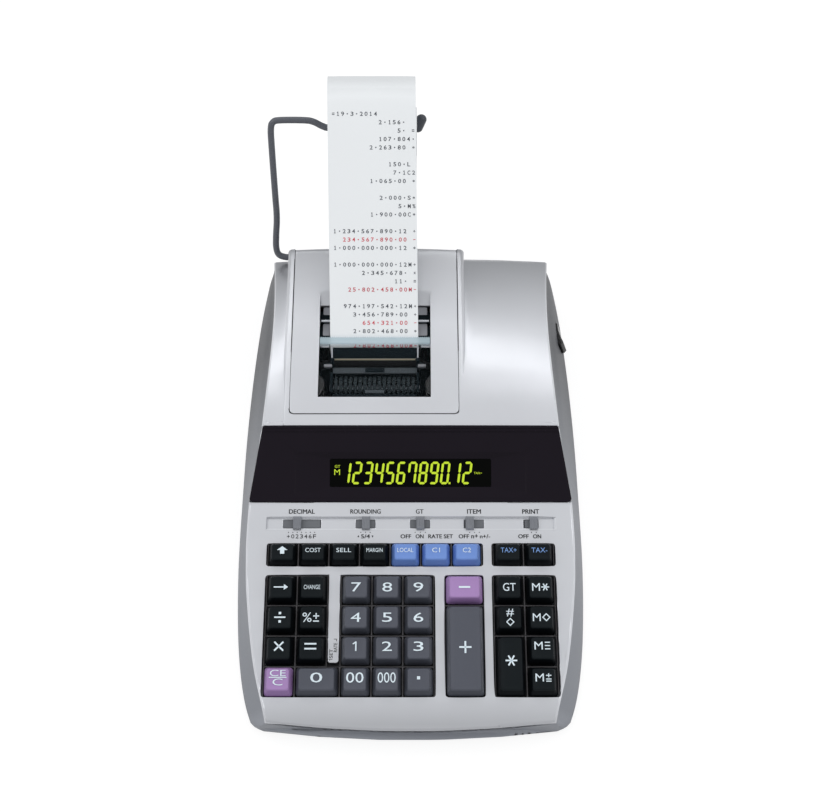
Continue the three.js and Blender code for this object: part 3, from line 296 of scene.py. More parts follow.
def stack(bm, rings, radius, segments=4):
    """A closed body through a stack of rounded rectangles: (width, depth, z, middle x, middle y)."""
    width, depth, z, x, y = rings[0]
    base = rounded_plate(bm, width, depth, radius, z, (x, y), segments)
    base.normal_flip()
    grown = bmesh.ops.extrude_face_region(bm, geom=[base], use_keep_orig=True)["geom"]
    face = next(g for g in grown if isinstance(g, bmesh.types.BMFace))
    resize_ring(face, *rings[1])
    for ring in rings[2:]:
        face = bmesh.ops.extrude_discrete_faces(bm, faces=[face])["faces"][0]
        resize_ring(face, *ring)


print("forms ready")

# %% [markdown]
# ## Moulded plastic
# Almost every part of the machine is injection-moulded. Real mouldings are never one flat colour: the
# mould is lightly spark-eroded, which leaves a fine grain, and the gloss drifts a little across the
# part. One recipe makes all of them, and only its numbers change.

# %% Plastic recipe
COLOUR_CLOUD_MM = 42
BUMP_STRENGTH = 0.6


def tone(red, green, blue):
    """A colour as it looks on a screen, from 0 to 255, as the linear colour that shaders use."""
    def linear(value):
        share = value / 255
        return share / 12.92 if share <= 0.04045 else ((share + 0.055) / 1.055) ** 2.4
    return (linear(red), linear(green), linear(blue), 1)


def deeper(colour, share):
    return tuple(c * share for c in colour[:3]) + (1,)


def noise(tree, feature_mm, detail=3):
    """A noise whose features are about the given size."""
    where = tree.nodes.new("ShaderNodeTexCoord")
    texture = node(tree, "ShaderNodeTexNoise", {"Scale": 1000 / feature_mm, "Detail": detail})
    linked(tree, where.outputs["Object"], texture.inputs["Vector"])
    return texture.outputs[0]


def ranged(tree, value, start, end, low, high):
    """Maps start to end onto low to high."""
    made = node(tree, "ShaderNodeMapRange",
                {"From Min": start, "From Max": end, "To Min": low, "To Max": high})
    linked(tree, value, made.inputs["Value"])
    return made.outputs[0]


def spread(tree, value, low, high):
    """Maps a noise's usual 0.3 to 0.7 onto a new range."""
    return ranged(tree, value, 0.3, 0.7, low, high)


def along_machine(tree, start, end, low, high):
    """A value that goes from low to high between two places along the machine, in metres."""
    where = tree.nodes.new("ShaderNodeTexCoord")
    split = tree.nodes.new("ShaderNodeSeparateXYZ")
    linked(tree, where.outputs["Object"], split.inputs[0])
    return ranged(tree, split.outputs["Y"], start, end, low, high)


def two_tones(tree, value, first, second):
    mix = tree.nodes.new("ShaderNodeMix")
    mix.data_type = "RGBA"
    linked(tree, value, mix.inputs["Factor"])
    mix.inputs["A"].default_value = first
    mix.inputs["B"].default_value = second
    return mix.outputs["Result"]


def moulded(name, colour, rough, grain=0.5, relief=0.00004, drift=0.05, gloss_drift=0.06, metal=0, shine=0.5):
    """A moulded plastic: fine grain in the bump, slow drift in colour and gloss."""
    paint = bpy.data.materials.new(name)
    paint.use_nodes = True
    tree = paint.node_tree
    shader = tree.nodes["Principled BSDF"]
    fine = noise(tree, grain, 2)
    shade = spread(tree, noise(tree, COLOUR_CLOUD_MM), 0, 1)
    linked(tree, two_tones(tree, shade, deeper(colour, 1 - drift), deeper(colour, 1 + drift)),
           shader.inputs["Base Color"])
    linked(tree, spread(tree, fine, rough - gloss_drift, rough + gloss_drift), shader.inputs["Roughness"])
    bump = node(tree, "ShaderNodeBump", {"Strength": BUMP_STRENGTH, "Distance": relief})
    linked(tree, fine, bump.inputs["Height"])
    linked(tree, bump.outputs[0], shader.inputs["Normal"])
    shader.inputs["Metallic"].default_value = metal
    shader.inputs["Specular IOR Level"].default_value = shine
    return paint


def paint_shade_along(paint, start, end, share):
    """Paints shade or light into a paint's colour: multiplies it to a share between two places along the
    machine, in metres.
    """
    tree = paint.node_tree
    base = tree.nodes["Principled BSDF"].inputs["Base Color"]
    scale = tree.nodes.new("ShaderNodeVectorMath")
    scale.operation = "SCALE"
    linked(tree, base.links[0].from_socket, scale.inputs[0])
    linked(tree, along_machine(tree, start, end, 1, share), scale.inputs["Scale"])
    linked(tree, scale.outputs[0], base)


print("recipe ready")

# %% [markdown]
# The outside has silver paint over plastic on top and bare grey plastic below. Under the lamps both turn
# darker towards the rear, where the case falls away, and the front edge changes too. Lamps alone didn't give
# that, so shade is painted into both paints, growing slowly towards the rear, with painted shade on the
# silver's front edge and painted light on the grey one. Keys have a darker copy of their colour on the sides
# and a lighter one on top: painted shade and painted light.

# %% Paints
SILVER = moulded("silver_paint", tone(222, 224, 229), 0.3, grain=0.3, relief=0.000003, drift=0.02,
                 gloss_drift=0.02, metal=0.65)
GREY_CASE = moulded("grey_case", tone(150, 153, 160), 0.5, grain=0.8, drift=0.03, shine=0.3)
# Painted shade darkens the grey towards the rear, and painted light brightens its front edge. Painted shade
# darkens the silver towards the rear and at its front edge.
paint_shade_along(GREY_CASE, -0.06, 0.06, 0.32)
paint_shade_along(GREY_CASE, -0.184, -0.198, 1.35)
paint_shade_along(SILVER, 0.06, 0.122, 0.56)
paint_shade_along(SILVER, -0.18, -0.196, 0.75)
DISPLAY_BLACK = moulded("display_black", tone(26, 21, 29), 0.14, grain=3, relief=0.000003, gloss_drift=0.02,
                        shine=0.1)
DISPLAY_DARK = moulded("display_window", tone(5, 6, 5), 0.1, grain=4, relief=0.000002, gloss_drift=0.02,
                       shine=0.04)
FRAME_BLACK = moulded("key_frame_black", tone(34, 35, 38), 0.55)
MECHANISM = moulded("mechanism_grey", tone(13, 23, 28), 0.5, grain=0.8, shine=0.05)
MECHANISM_PALE = moulded("mechanism_pale", tone(134, 136, 142), 0.45, grain=0.8)
RUBBER = moulded("platen_rubber", tone(38, 38, 40), 0.7, grain=0.3, relief=0.00008)
KNOB_GREY = moulded("knob_grey", tone(128, 131, 138), 0.45)
SLIDE_GREY = moulded("slide_grey", tone(104, 107, 112), 0.5)
RIB_GREY = moulded("rib_grey", tone(92, 90, 93), 0.6)
SWITCH_BLACK = moulded("switch_black", tone(26, 26, 28), 0.25, grain=1)
# The sides of each cap take a darker copy of its colour: painted shade.
KEY_SHADED_SIDE = {
    "key_black": moulded("key_black", tone(11, 14, 17), 0.4, drift=0.08, shine=0.05),
    "key_grey": moulded("key_grey", tone(70, 73, 82), 0.42, shine=0.3),
    "key_lilac": moulded("key_lilac", tone(156, 122, 176), 0.42, shine=0.3),
    "key_blue": moulded("key_blue", tone(98, 132, 202), 0.42, shine=0.3),
}
# The top of each cap takes a lighter copy of its colour: painted light.
KEY_LIT_TOP = {
    "key_black": moulded("key_black_lit_top", tone(24, 29, 32), 0.4, drift=0.08, shine=0.08),
    "key_grey": moulded("key_grey_lit_top", tone(84, 87, 97), 0.42, shine=0.3),
    "key_lilac": moulded("key_lilac_lit_top", tone(170, 136, 190), 0.42, shine=0.3),
    "key_blue": moulded("key_blue_lit_top", tone(114, 148, 216), 0.42, shine=0.3),
}
LEGEND = moulded("legend_white", tone(226, 240, 248), 0.5, relief=0.000005)
LEGEND_BLUE = moulded("legend_blue", tone(120, 160, 220), 0.5, relief=0.000005)
PRINT_DARK = moulded("printed_dark", tone(18, 19, 23), 0.6, relief=0.000005)
print("paints:", len(bpy.data.materials))

# %% [markdown]
# ## The two case halves
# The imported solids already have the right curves, but in broad facets. So each half is a copy of its
# solid: doubled corners are merged, flat triangles are dissolved and cut again into small even ones, and
# the points on gentle curves are relaxed until the facets are gone. A point on a real edge moves only
# along that edge, and only where the edge bends gently, so corners stay where they are. Modelling the
# shells again would only risk a shape that no longer meets its neighbours.

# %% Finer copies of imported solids
LONGEST_EDGE, FIRST_EDGE, HALVINGS = 3.2, 120, 9
SOFT_ANGLE = math.radians(17)
LINE_BEND = math.radians(24)
FLAT_ANGLE = math.radians(0.6)
EDGE_ANGLE = math.radians(30)
WELD_MM = 0.08


def cut_small(bm, longest):
    """Splits long edges step by step, so that the triangles end up small and even."""
    bmesh.ops.triangulate(bm, faces=bm.faces)
    for step in range(HALVINGS):
        limit = max(longest, FIRST_EDGE / 2 ** step)
        long_edges = [e for e in bm.edges if e.calc_length() > limit]
        if long_edges:
            bmesh.ops.subdivide_edges(bm, edges=long_edges, cuts=1)
            bmesh.ops.triangulate(bm, faces=[f for f in bm.faces if len(f.verts) > 3])
            flat = [e for e in bm.edges if e.is_manifold and e.calc_face_angle() < FLAT_ANGLE]
            bmesh.ops.beautify_fill(bm, faces=bm.faces, edges=flat)


def runs_on(v, ends):
    """True where a real edge only bends gently at a point, so that its facets can be smoothed."""
    if len(ends) != 2:
        return False
    return (ends[0].co - v.co).angle(v.co - ends[1].co, 0) < LINE_BEND


def relax_curves(bm, passes):
    """Moves points towards the middle of their neighbours: off the real edges, and along them."""
    bm.normal_update()
    creases = {}
    for edge in bm.edges:
        if not edge.is_manifold or edge.calc_face_angle() > SOFT_ANGLE:
            for v in edge.verts:
                creases.setdefault(v, []).append(edge.other_vert(v))
    soft = [v for v in bm.verts if v not in creases]
    lines = [(v, ends) for v, ends in creases.items() if runs_on(v, ends)]
    for _ in range(passes):
        moves = [(v, (ends[0].co + ends[1].co) / 4 + v.co / 2) for v, ends in lines]
        for v, place_now in moves:
            v.co = place_now
    for _ in range(passes):
        bmesh.ops.smooth_vert(
            bm, verts=soft, factor=0.5, use_axis_x=True, use_axis_y=True, use_axis_z=True,
        )
    return len(soft)


def round_edges(bm, size, rear_limit):
    """Turns each real edge over a small radius, apart from the short ones and those behind a limit."""
    bm.normal_update()
    real = [e for e in bm.edges if e.is_manifold and e.calc_face_angle() > EDGE_ANGLE
            and e.calc_length() > size * 2 and (rear_limit is None or e.verts[0].co.y < rear_limit)]
    bmesh.ops.bevel(
        bm, geom=real, offset=size, segments=2, profile=0.5, affect="EDGES", clamp_overlap=False, material=-1,
    )


def dressed_copy(name, node_name, paints, body, round_mm, longest=LONGEST_EDGE, passes=14, choose=None,
                 rear_limit=None, weld=WELD_MM):
    """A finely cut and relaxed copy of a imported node, with rounded edges and even shading."""
    bm = bmesh.new()
    bm.from_mesh(frame["nodes"][node_name].data)
    bmesh.ops.transform(bm, matrix=TO_MM, verts=bm.verts)
    bmesh.ops.remove_doubles(bm, verts=bm.verts, dist=weld)
    bmesh.ops.dissolve_degenerate(bm, dist=weld, edges=bm.edges)
    bmesh.ops.dissolve_limit(bm, angle_limit=FLAT_ANGLE, verts=bm.verts, edges=bm.edges)
    if round_mm:
        round_edges(bm, round_mm, rear_limit)
    cut_small(bm, longest)
    soft = relax_curves(bm, passes)
    print(name, "faces", len(bm.faces), "soft points", soft)
    if choose:
        for face in bm.faces:
            face.material_index = choose(face.calc_center_median(), face.normal)
    obj = make_piece(name, bm, body, paints, stands_for=[node_name], sharp=42)
    if obj.data.validate(clean_customdata=False):
        print(name, "had doubled faces, which are gone")
    if rear_limit is None:
        even = obj.modifiers.new("even_shading", "WEIGHTED_NORMAL")
        even.keep_sharp = True
    return obj


# %% [markdown]
# A painted shell has one broad smooth sheen, and the small leftovers of facets would break it. So the
# upper half's upward faces borrow a normal from a coarse grid of averaged ones, and keep their own where
# they turn away from it.

# %% Upper half
GRID_LOW = numpy.array([-112.0, -202.0])
GRID_WIDE, GRID_LONG, GRID_CELL, GRID_TURNS = 224, 336, 2.0, 10
UPWARD, NEARLY_UPWARD = 0.93, 0.9
LARGEST_TURN, TURN_BLEND = math.radians(9), math.radians(4)
UPPER_ROUND_REAR = -42


def grid_spot(point):
    return tuple(((numpy.array(point[:2]) * 1000 - GRID_LOW) / GRID_CELL).astype(int))


def even_top(obj):
    """Gives the broad upward faces one smoothly changing normal."""
    mesh = obj.data
    total = numpy.zeros((int(GRID_WIDE / GRID_CELL) + 1, int(GRID_LONG / GRID_CELL) + 1, 3))
    for face in mesh.polygons:
        if face.normal.z > UPWARD:
            total[grid_spot(face.center)] += numpy.array(face.normal) * face.area
    for _ in range(GRID_TURNS):
        padded = numpy.pad(total, ((1, 1), (1, 1), (0, 0)))
        total = (total * 2 + padded[:-2, 1:-1] + padded[2:, 1:-1] + padded[1:-1, :-2] + padded[1:-1, 2:]) / 6
    normals = [corner.vector.copy() for corner in mesh.corner_normals]
    for face in mesh.polygons:
        if face.normal.z < NEARLY_UPWARD:
            continue
        for loop in face.loop_indices:
            even = Vector(total[grid_spot(mesh.vertices[mesh.loops[loop].vertex_index].co)])
            if even.length < 1e-12:
                continue
            even.normalize()
            share = min(max((LARGEST_TURN - even.angle(face.normal)) / TURN_BLEND, 0), 1)
            normals[loop] = (even * share + normals[loop] * (1 - share)).normalized()
    mesh.normals_split_custom_set(normals)


even_top(dressed_copy("upper_half", "upper_case", [SILVER], "case", 0.4,
                      rear_limit=UPPER_ROUND_REAR))

# %% [markdown]
# The lower half is one grey moulding that also carries the rubber feet and the cable gland. Its finish is
# chosen by place. The cover is a thin silver shell that lifts off.

# %% Lower half and cover
CASE_REAR = 166 + SHIFT_Y
GLAND_X, GLAND_Z, GLAND_R = 62, 18, 4.2
FOOT_TOP = 2.42
GREY, SOFT_RUBBER = 0, 1


def lower_paint(centre, normal):
    """The feet and the cable gland are rubber; the rest of the lower case is grey plastic."""
    behind = centre.y > CASE_REAR + 0.05
    in_gland = math.hypot(centre.x - GLAND_X, centre.z - GLAND_Z) < GLAND_R and centre.y > CASE_REAR - 3
    return SOFT_RUBBER if centre.z < FOOT_TOP or behind or in_gland else GREY


dressed_copy("lower_half", "lower_case", [GREY_CASE, RUBBER], "case", 0, longest=4.2,
             choose=lower_paint, weld=0.01)
dressed_copy("cover_shell", "printer_cover", [SILVER], "cover", 0.4)

# %% [markdown]
# ## Lettering
# Words and figures on keys are moulded in or printed, and stay perfectly flat to the eye. A text object
# gives their outlines. It is made a mesh at once, stretched to the size measured on the real thing, and
# joined to the piece that carries it, so that it moves with that piece.

# %% Lettering helpers
INK_THICK = 0.03
UNIT = ((-0.5, -0.5), (0.5, -0.5), (0.5, 0.5), (-0.5, 0.5))


def lettering(bm, text, size, centre, z, material, weight=0.0, thick=INK_THICK):
    """Joins words to a bmesh: size is the width and height of the whole mark, in millimetres."""
    curve = bpy.data.curves.new("words", "FONT")
    curve.body = text
    curve.extrude = thick / 2
    curve.offset = weight
    curve.resolution_u = 3
    holder = bpy.data.objects.new("words", curve)
    flat = bpy.data.meshes.new_from_object(holder)
    xs = [v.co.x for v in flat.vertices]
    ys = [v.co.y for v in flat.vertices]
    middle = Vector(((min(xs) + max(xs)) / 2, (min(ys) + max(ys)) / 2, -thick / 2))
    wide = size[0] / (max(xs) - min(xs))
    high = size[1] / (max(ys) - min(ys))
    spot = Matrix.Translation((centre[0], centre[1], z))
    flat.transform(spot @ Matrix.Diagonal((wide, high, 1, 1)) @ Matrix.Translation(-middle))
    first = len(bm.faces)
    bm.from_mesh(flat)
    paint_new(bm, first, material)
    bpy.data.objects.remove(holder)
    bpy.data.curves.remove(curve)
    bpy.data.meshes.remove(flat)


def mark(bm, corners, centre, z, material, thick=INK_THICK):
    """A plain filled mark from its corner points, a thin slab on the surface."""
    face = bm.faces.new([bm.verts.new((centre[0] + x, centre[1] + y, z)) for x, y in corners])
    face.material_index = material
    face.normal_update()
    if face.normal.z < 0:
        face.normal_flip()
    top = points_of(bmesh.ops.extrude_face_region(bm, geom=[face], use_keep_orig=True)["geom"])
    bmesh.ops.translate(bm, vec=(0, 0, thick), verts=top)
    face.normal_flip()
    for raised in {f for v in top for f in v.link_faces}:
        raised.material_index = material


def scaled(corners, wide, high):
    return [(x * wide, y * high) for x, y in corners]


def oblong(bm, wide, high, centre, z, material, thick=INK_THICK):
    """A plain filled oblong."""
    mark(bm, scaled(UNIT, wide, high), centre, z, material, thick)


print("lettering ready")

# %% [markdown]
# ## Key legends
# The words and signs on the caps say what each key does. Words come from the lettering recipe, and plain
# signs are drawn from bars, because a font's signs are too thin for keys. Each key has a list of things
# to draw.

# %% What stands on each key
LEGEND_Z = 5.88
LEGEND_INK = 1
ARROW_UP = ((-1.3, -2.4), (1.3, -2.4), (1.3, 0), (3.3, 0), (0, 2.5), (-3.3, 0), (-1.3, 0))
ARROW_RIGHT = ((-4.4, -0.4), (1.8, -0.4), (1.8, -1.8), (4.4, 0), (1.8, 1.8), (1.8, 0.4), (-4.4, 0.4))
FIGURE_ONE = ((-0.1, -2.9), (0.75, -2.9), (0.75, 2.9), (0, 2.9), (-1.7, 1.6), (-1.3, 1), (-0.1, 1.9))
DIAMOND_HALF, DIAMOND_LINE = 2.6, 0.62 * 1.4


def turned(corners, angle):
    c, s = math.cos(angle), math.sin(angle)
    return [(x * c - y * s, x * s + y * c) for x, y in corners]


def word(text, wide, high, x=0, y=0):
    return lambda bm: lettering(bm, text, (wide, high), (x, y), LEGEND_Z, LEGEND_INK)


def shape(corners, x=0, y=0):
    return lambda bm: mark(bm, corners, (x, y), LEGEND_Z, LEGEND_INK)


def bars(*rows):
    """Flat bars: middle X, middle Y, width, height."""
    def draw(bm):
        for x, y, wide, high in rows:
            oblong(bm, wide, high, (x, y), LEGEND_Z, LEGEND_INK)
    return draw


def star(size, thick, x=0):
    return [shape(turned(scaled(UNIT, size, thick), math.radians(60 * n)), x) for n in range(3)]


def diamond(x, y):
    """Four thin bars that make an open diamond."""
    near = DIAMOND_HALF - DIAMOND_LINE
    side = [(DIAMOND_HALF, 0), (0, DIAMOND_HALF), (0, near), (near, 0)]
    return [shape(turned(side, math.radians(90 * n)), x, y) for n in range(4)]


LEGENDS = {
    "feed": [shape(ARROW_UP)],
    "cost": [word("COST", 9.6, 2.7)], "sell": [word("SELL", 9.2, 2.7)], "margin": [word("MARGIN", 10, 2.6)],
    "convert_home": [word("LOCAL", 9.8, 2.8)],
    "convert_first": [word("C1", 4.8, 3)], "convert_second": [word("C2", 5.1, 3)],
    "tax_plus": [word("TAX+", 9.8, 3.1)], "tax_minus": [word("TAX-", 9.8, 3.1)],
    "shift": [shape(ARROW_RIGHT)],
    "change": [word("CHANGE", 10, 2.7)],
    "divide": [bars((0, 0, 6.8, 0.9), (0, 2.6, 1.5, 1.5), (0, -2.6, 1.5, 1.5))],
    "percent": [word("%", 5.6, 5.9, -2.5),
                bars((3, 0.8, 3.6, 0.75), (3, 0.8, 0.75, 3.6), (3, -2.4, 3.6, 0.75))],
    "multiply": [shape([(x + y, y - x) for x, y in scaled(UNIT, 5.4, 0.7)]),
                 shape([(x - y, x + y) for x, y in scaled(UNIT, 5.4, 0.7)])],
    "equals": [bars((0, 1.5, 7.2, 1), (0, -1.5, 7.2, 1))],
    "clear": [word("CE", 9.6, 3.9, 0, 2.7), bars((0, 0.1, 10.6, 0.6)), word("C", 6, 4.2, 0, -2.7)],
    "0": [word("0", 7.2, 6)], "double_0": [word("00", 10.4, 6.3)], "triple_0": [word("000", 10.8, 6.3)],
    "1": [shape(FIGURE_ONE)],
    "point": [bars((0, -0.2, 1.9, 1.9))],
    "minus": [bars((0, 0, 7, 1.2))],
    "plus": [bars((0, 0, 7.4, 1.1), (0, 0, 1.1, 7.4))],
    "grand_total": [word("GT", 7.8, 5)],
    "total": star(7, 0.95),
    "memory_total": [word("M", 4.8, 4.8, -2.7)] + star(4.8, 0.7, 2.9),
    "subtotal": [word("#", 4.6, 4.8, 0, 2.9)] + diamond(0, -2.9),
    "memory_subtotal": [word("M", 4.8, 4.8, -2.9)] + diamond(2.9, 0),
    "memory_minus": [word("M", 5, 4.8, -2.4), bars((3, 2, 3.2, 0.65), (3, 0, 3.2, 0.65), (3, -2, 3.2, 0.65))],
    "memory_plus": [word("M", 5, 4.8, -2.4), bars((3, 1.3, 3.2, 0.6), (3, 1.3, 0.6, 2.4), (3, -0.9, 3.2, 0.6),
                                                (3, -2.2, 3.2, 0.6))],
}
for digit in "23456789":
    LEGENDS[digit] = [word(digit, 6, 5.8)]
print("legends:", len(LEGENDS))

# %% [markdown]
# ## Key caps
# Each cap is a hollow moulding with four sloping sides and a slightly dished top for the finger. A stack
# of rounded rectangles gives that shape: the skirt tapers, the rim turns over in a small round, and the
# last rings step down into the dish. On the nearer and the furthest rows the words stand a little above
# the middle. The five has a small bump, by which the finger finds it.

# %% Make every key cap
# Inset from the skirt's edge, and height
KEY_RINGS = (
    (0, -2), (0.25, 0.6), (1.9, 5.0), (2.2, 5.6), (2.5, 5.88), (2.85, 5.95), (3.3, 5.86), (4.1, 5.7),
    (5.2, 5.6),
)
KEY_CORNER = 2
STEM_WIDE, STEM_TOP, STEM_CORNER = 4, -1.9, 0.4
DISH_Z = 5.6
TOP_FROM_Z = 5.3
SHADED_SIDE_PART, LIT_TOP_PART = 0, 2
LEGEND_LIFT = {name: 1.1 for name in (
    "feed", "cost", "sell", "margin", "convert_home", "convert_first", "convert_second", "tax_plus",
    "tax_minus", "clear", "0", "double_0", "triple_0", "point", "multiply", "equals", "1", "2", "3",
    "memory_plus")}
LEGEND_LIFT.update(total=1.9, memory_minus=1.5, plus=0.6)
BUMP_Y, BUMP_R, BUMP_FLAT = -3.4, 0.5, 0.7
frame_slots = {part["node"]: part["material_slot"] for part in frame["record"]["subparts"]}
key_nodes = [name for name in frame["nodes"] if name.startswith("key_") and name != "key_frame"]


def make_key(node_name):
    name = node_name[4:]
    middle, wide, deep, low, _ = local_box(node_name, DECK)
    bm = bmesh.new()
    stack(bm, [(wide - inset * 2, deep - inset * 2, z, 0, 0) for inset, z in KEY_RINGS], KEY_CORNER)
    stack(bm, [(STEM_WIDE, STEM_WIDE, z, 0, 0) for z in (low, STEM_TOP)], STEM_CORNER, 2)
    # Top faces take the lighter copy and the sides the darker one: painted light on top, painted shade on the
    # sides.
    for face in bm.faces:
        face.material_index = LIT_TOP_PART if face.calc_center_median().z > TOP_FROM_Z else SHADED_SIDE_PART
    plain = len(bm.verts)
    for draw in LEGENDS[name]:
        draw(bm)
    shift_new(bm, plain, (0, LEGEND_LIFT.get(name, 0), 0))
    if name == "5":
        bump = bmesh.ops.create_uvsphere(bm, u_segments=12, v_segments=8, radius=BUMP_R)["verts"]
        bmesh.ops.scale(bm, vec=(1, 1, BUMP_FLAT), verts=bump)
        bmesh.ops.translate(bm, vec=(0, BUMP_Y, DISH_Z), verts=bump)
    slot = frame_slots[node_name]
    ink = LEGEND_BLUE if name.startswith("tax") else LEGEND
    make_piece("cap_" + name, bm, node_name, [KEY_SHADED_SIDE[slot], ink, KEY_LIT_TOP[slot]], DECK @ place(*middle, 0),
               [node_name])


# %% [markdown]
# The plate under the keys has low ribs that guide the caps. They show as thin pale lines in the gaps, so
# four narrow strips stand round each cap.

# %% Ribs between the caps, and the caps
RIB_WIDE, RIB_ROOM, RIB_HIGH = 0.3, 1.7, 2
RIB_TOP_ACROSS, RIB_TOP_ALONG = -2.4, -1
bm = bmesh.new()
for node_name in key_nodes:
    middle, wide, deep, _, _ = local_box(node_name, DECK)
    wide, deep = wide + RIB_ROOM, deep + RIB_ROOM
    for side in (-1, 1):
        box(bm, place(middle[0], middle[1] + side * (deep - RIB_WIDE) / 2, RIB_TOP_ACROSS - RIB_HIGH / 2),
            (wide, RIB_WIDE, RIB_HIGH))
        box(bm, place(middle[0] + side * (wide - RIB_WIDE) / 2, middle[1], RIB_TOP_ALONG - RIB_HIGH / 2),
            (RIB_WIDE, deep - RIB_WIDE * 2, RIB_HIGH))
make_piece("frame_ribs", bm, "case", [RIB_GREY], DECK)
for node_name in key_nodes:
    make_key(node_name)
print("caps:", len(key_nodes))

# %% [markdown]
# ## Slide switches
# Five grey knobs run in slots along one shallow channel. Their tops are ribbed for the fingernail, so a
# finely cut grid is raised in waves and then given its sides. Below each knob a flat grey slide closes
# the slot.

# %% Knobs and slides
RIBS = 5
RIB_RISE, KNOB_DISH, KNOB_RIM, FLAT_FROM = 0.35, 0.35, 0.75, 0.46
KNOB_FOOT, KNOB_STEM_WIDE, KNOB_STEM_TOP = -0.9, 3, -0.8
# Left and right end of each slot
SLIDES = ((-80.5, -56.4), (-34.5, -22.2), (-0.3, 12.2), (33.8, 46.4), (71.4, 80.8))
SLIDE_S, SLIDE_Z, SLIDE_DEEP, SLIDE_THICK = 129.7, -1.55, 5.2, 0.5


def make_knob(node_name):
    middle, wide, deep, low, high = local_box(node_name, DECK)
    bm = bmesh.new()
    grid = bmesh.ops.create_grid(bm, x_segments=RIBS * 6, y_segments=8, size=0.5)["verts"]
    for v in grid:
        rib = 0.5 - 0.5 * math.cos(2 * math.pi * (v.co.x + 0.5) * RIBS)
        inside = abs(v.co.y) < FLAT_FROM and abs(v.co.x) < FLAT_FROM
        v.co.z = high - KNOB_RIM + (RIB_RISE * rib + KNOB_DISH * (1 - (v.co.y * 2) ** 2)) * inside
    bmesh.ops.scale(bm, vec=(wide, deep, 1), verts=grid)
    for v in points_of(bmesh.ops.extrude_face_region(bm, geom=list(bm.faces), use_keep_orig=True)["geom"]):
        v.co.z = KNOB_FOOT
    bmesh.ops.recalc_face_normals(bm, faces=bm.faces)
    stack(bm, [(KNOB_STEM_WIDE, deep - 1, z, 0, 0) for z in (low, KNOB_STEM_TOP)], 0)
    make_piece(node_name.replace("slide_", "knob_"), bm, node_name, [KNOB_GREY], DECK @ place(*middle, 0),
               [node_name])


for node_name in [name for name in frame["nodes"] if name.startswith("slide_")]:
    make_knob(node_name)
bm = bmesh.new()
for left, right in SLIDES:
    box(bm, place((left + right) / 2, SLIDE_S, SLIDE_Z), (right - left - 0.2, SLIDE_DEEP, SLIDE_THICK))
make_piece("slide_covers", bm, "case", [SLIDE_GREY], DECK)
print("slides:", len(SLIDES))

# %% [markdown]
# ## Printed labels
# The words round the switches are printed on the case in dark ink, the names above the channel and the
# positions below it. Screen printing lays a fat line, so each word is struck twice, a hair apart. That
# thickens the strokes without closing the letters, which a wider outline would do.

# %% Labels on the deck
DECK_INK_Z = 0.05
NAME_S, POSITION_S, DOT_S = 137.5, 121.1, 123.7
# Text, middle and width
UPPER_LABELS = (("DECIMAL", -68.25, 16.3), ("ROUNDING", -28.24, 19.2), ("GT", 5.75, 4.9), ("ITEM", 39.9, 8.8),
                ("PRINT", 75.5, 10.7))
LOWER_LABELS = (("OFF", -2.9, 6.7), ("ON", 5.7, 5), ("RATE SET", 18.8, 15.4), ("OFF", 33.3, 6.6),
                ("n+", 40, 4.2), ("n+/-", 46.5, 6.4), ("OFF", 70.5, 6.6), ("ON", 79, 5.1),
                ("5/4", -28.1, 5.6))
SCALE_MARKS, SCALE_FROM, SCALE_STEP = "+02346F", -76.2, 2.72
DOTS = (-31, -28.1, -25.2, 2.9, 6.2, 9.3, 37, 40, 43, 75.6, 78.6)
DOT = 0.5
BOLD_SHIFTS = (-0.09, 0.09)
NAME_HIGH, POSITION_HIGH, PLUS_HIGH, MARK_WIDE = 2.9, 2.6, 1.9, 1.9
TRIANGLE_MIDDLE, TRIANGLE_STEP = -28.1, 4.4
TURNED_WORDS, TURNED_SIZE, TURNED_WEIGHT = (("SET", -48, 46.6), ("RATE", -45.4, 50.4)), (5.6, 2.1), 0.012
# Middle X, middle S, width and height of the lines round the turned words
TURNED_LINES = ((-48, 43.2, 1.8, 0.35), (-48.8, 42.9, 0.35, 1.1), (-45.6, 55.6, 1.8, 0.35),
                (-44.8, 55, 0.35, 1.5))
bm = bmesh.new()
for shift in BOLD_SHIFTS:
    for text, x, wide in UPPER_LABELS:
        lettering(bm, text, (wide - 0.2, NAME_HIGH), (x + shift, NAME_S), DECK_INK_Z, 0)
    for text, x, wide in LOWER_LABELS:
        lettering(bm, text, (wide - 0.15, POSITION_HIGH), (x + shift, POSITION_S), DECK_INK_Z, 0)
for n, letter in enumerate(SCALE_MARKS):
    x = SCALE_FROM + n * SCALE_STEP
    high = PLUS_HIGH if letter == "+" else POSITION_HIGH
    lettering(bm, letter, (MARK_WIDE, high), (x, POSITION_S), DECK_INK_Z, 0)
    oblong(bm, DOT, DOT, (x, DOT_S), DECK_INK_Z, 0)
for side in (-1, 1):
    mark(bm, [(-0.6, 0.5 * side), (0.6, 0.5 * side), (0, -0.8 * side)],
         (TRIANGLE_MIDDLE + side * TRIANGLE_STEP, POSITION_S), DECK_INK_Z, 0)
for x in DOTS:
    oblong(bm, DOT, DOT, (x, DOT_S), DECK_INK_Z, 0)
for text, x, s in TURNED_WORDS:
    first = len(bm.verts)
    lettering(bm, text, TURNED_SIZE, (0, 0), DECK_INK_Z, 0, TURNED_WEIGHT)
    bm.verts.ensure_lookup_table()
    bmesh.ops.rotate(bm, cent=(0, 0, 0), matrix=Matrix.Rotation(QUARTER, 3, "Z"), verts=bm.verts[first:])
    shift_new(bm, first, (x, s, 0))
for x, s, wide, deep in TURNED_LINES:
    oblong(bm, wide, deep, (x, s), DECK_INK_Z, 0)
make_piece("printed_labels", bm, "case", [PRINT_DARK], DECK)
print("labels:", len(UPPER_LABELS) + len(LOWER_LABELS))

# %% [markdown]
# The switches stand in one long shallow tray. Its far and left edges turn from the light and its near and
# right edges face it, so two thin lines of shade and two of light draw the tray.

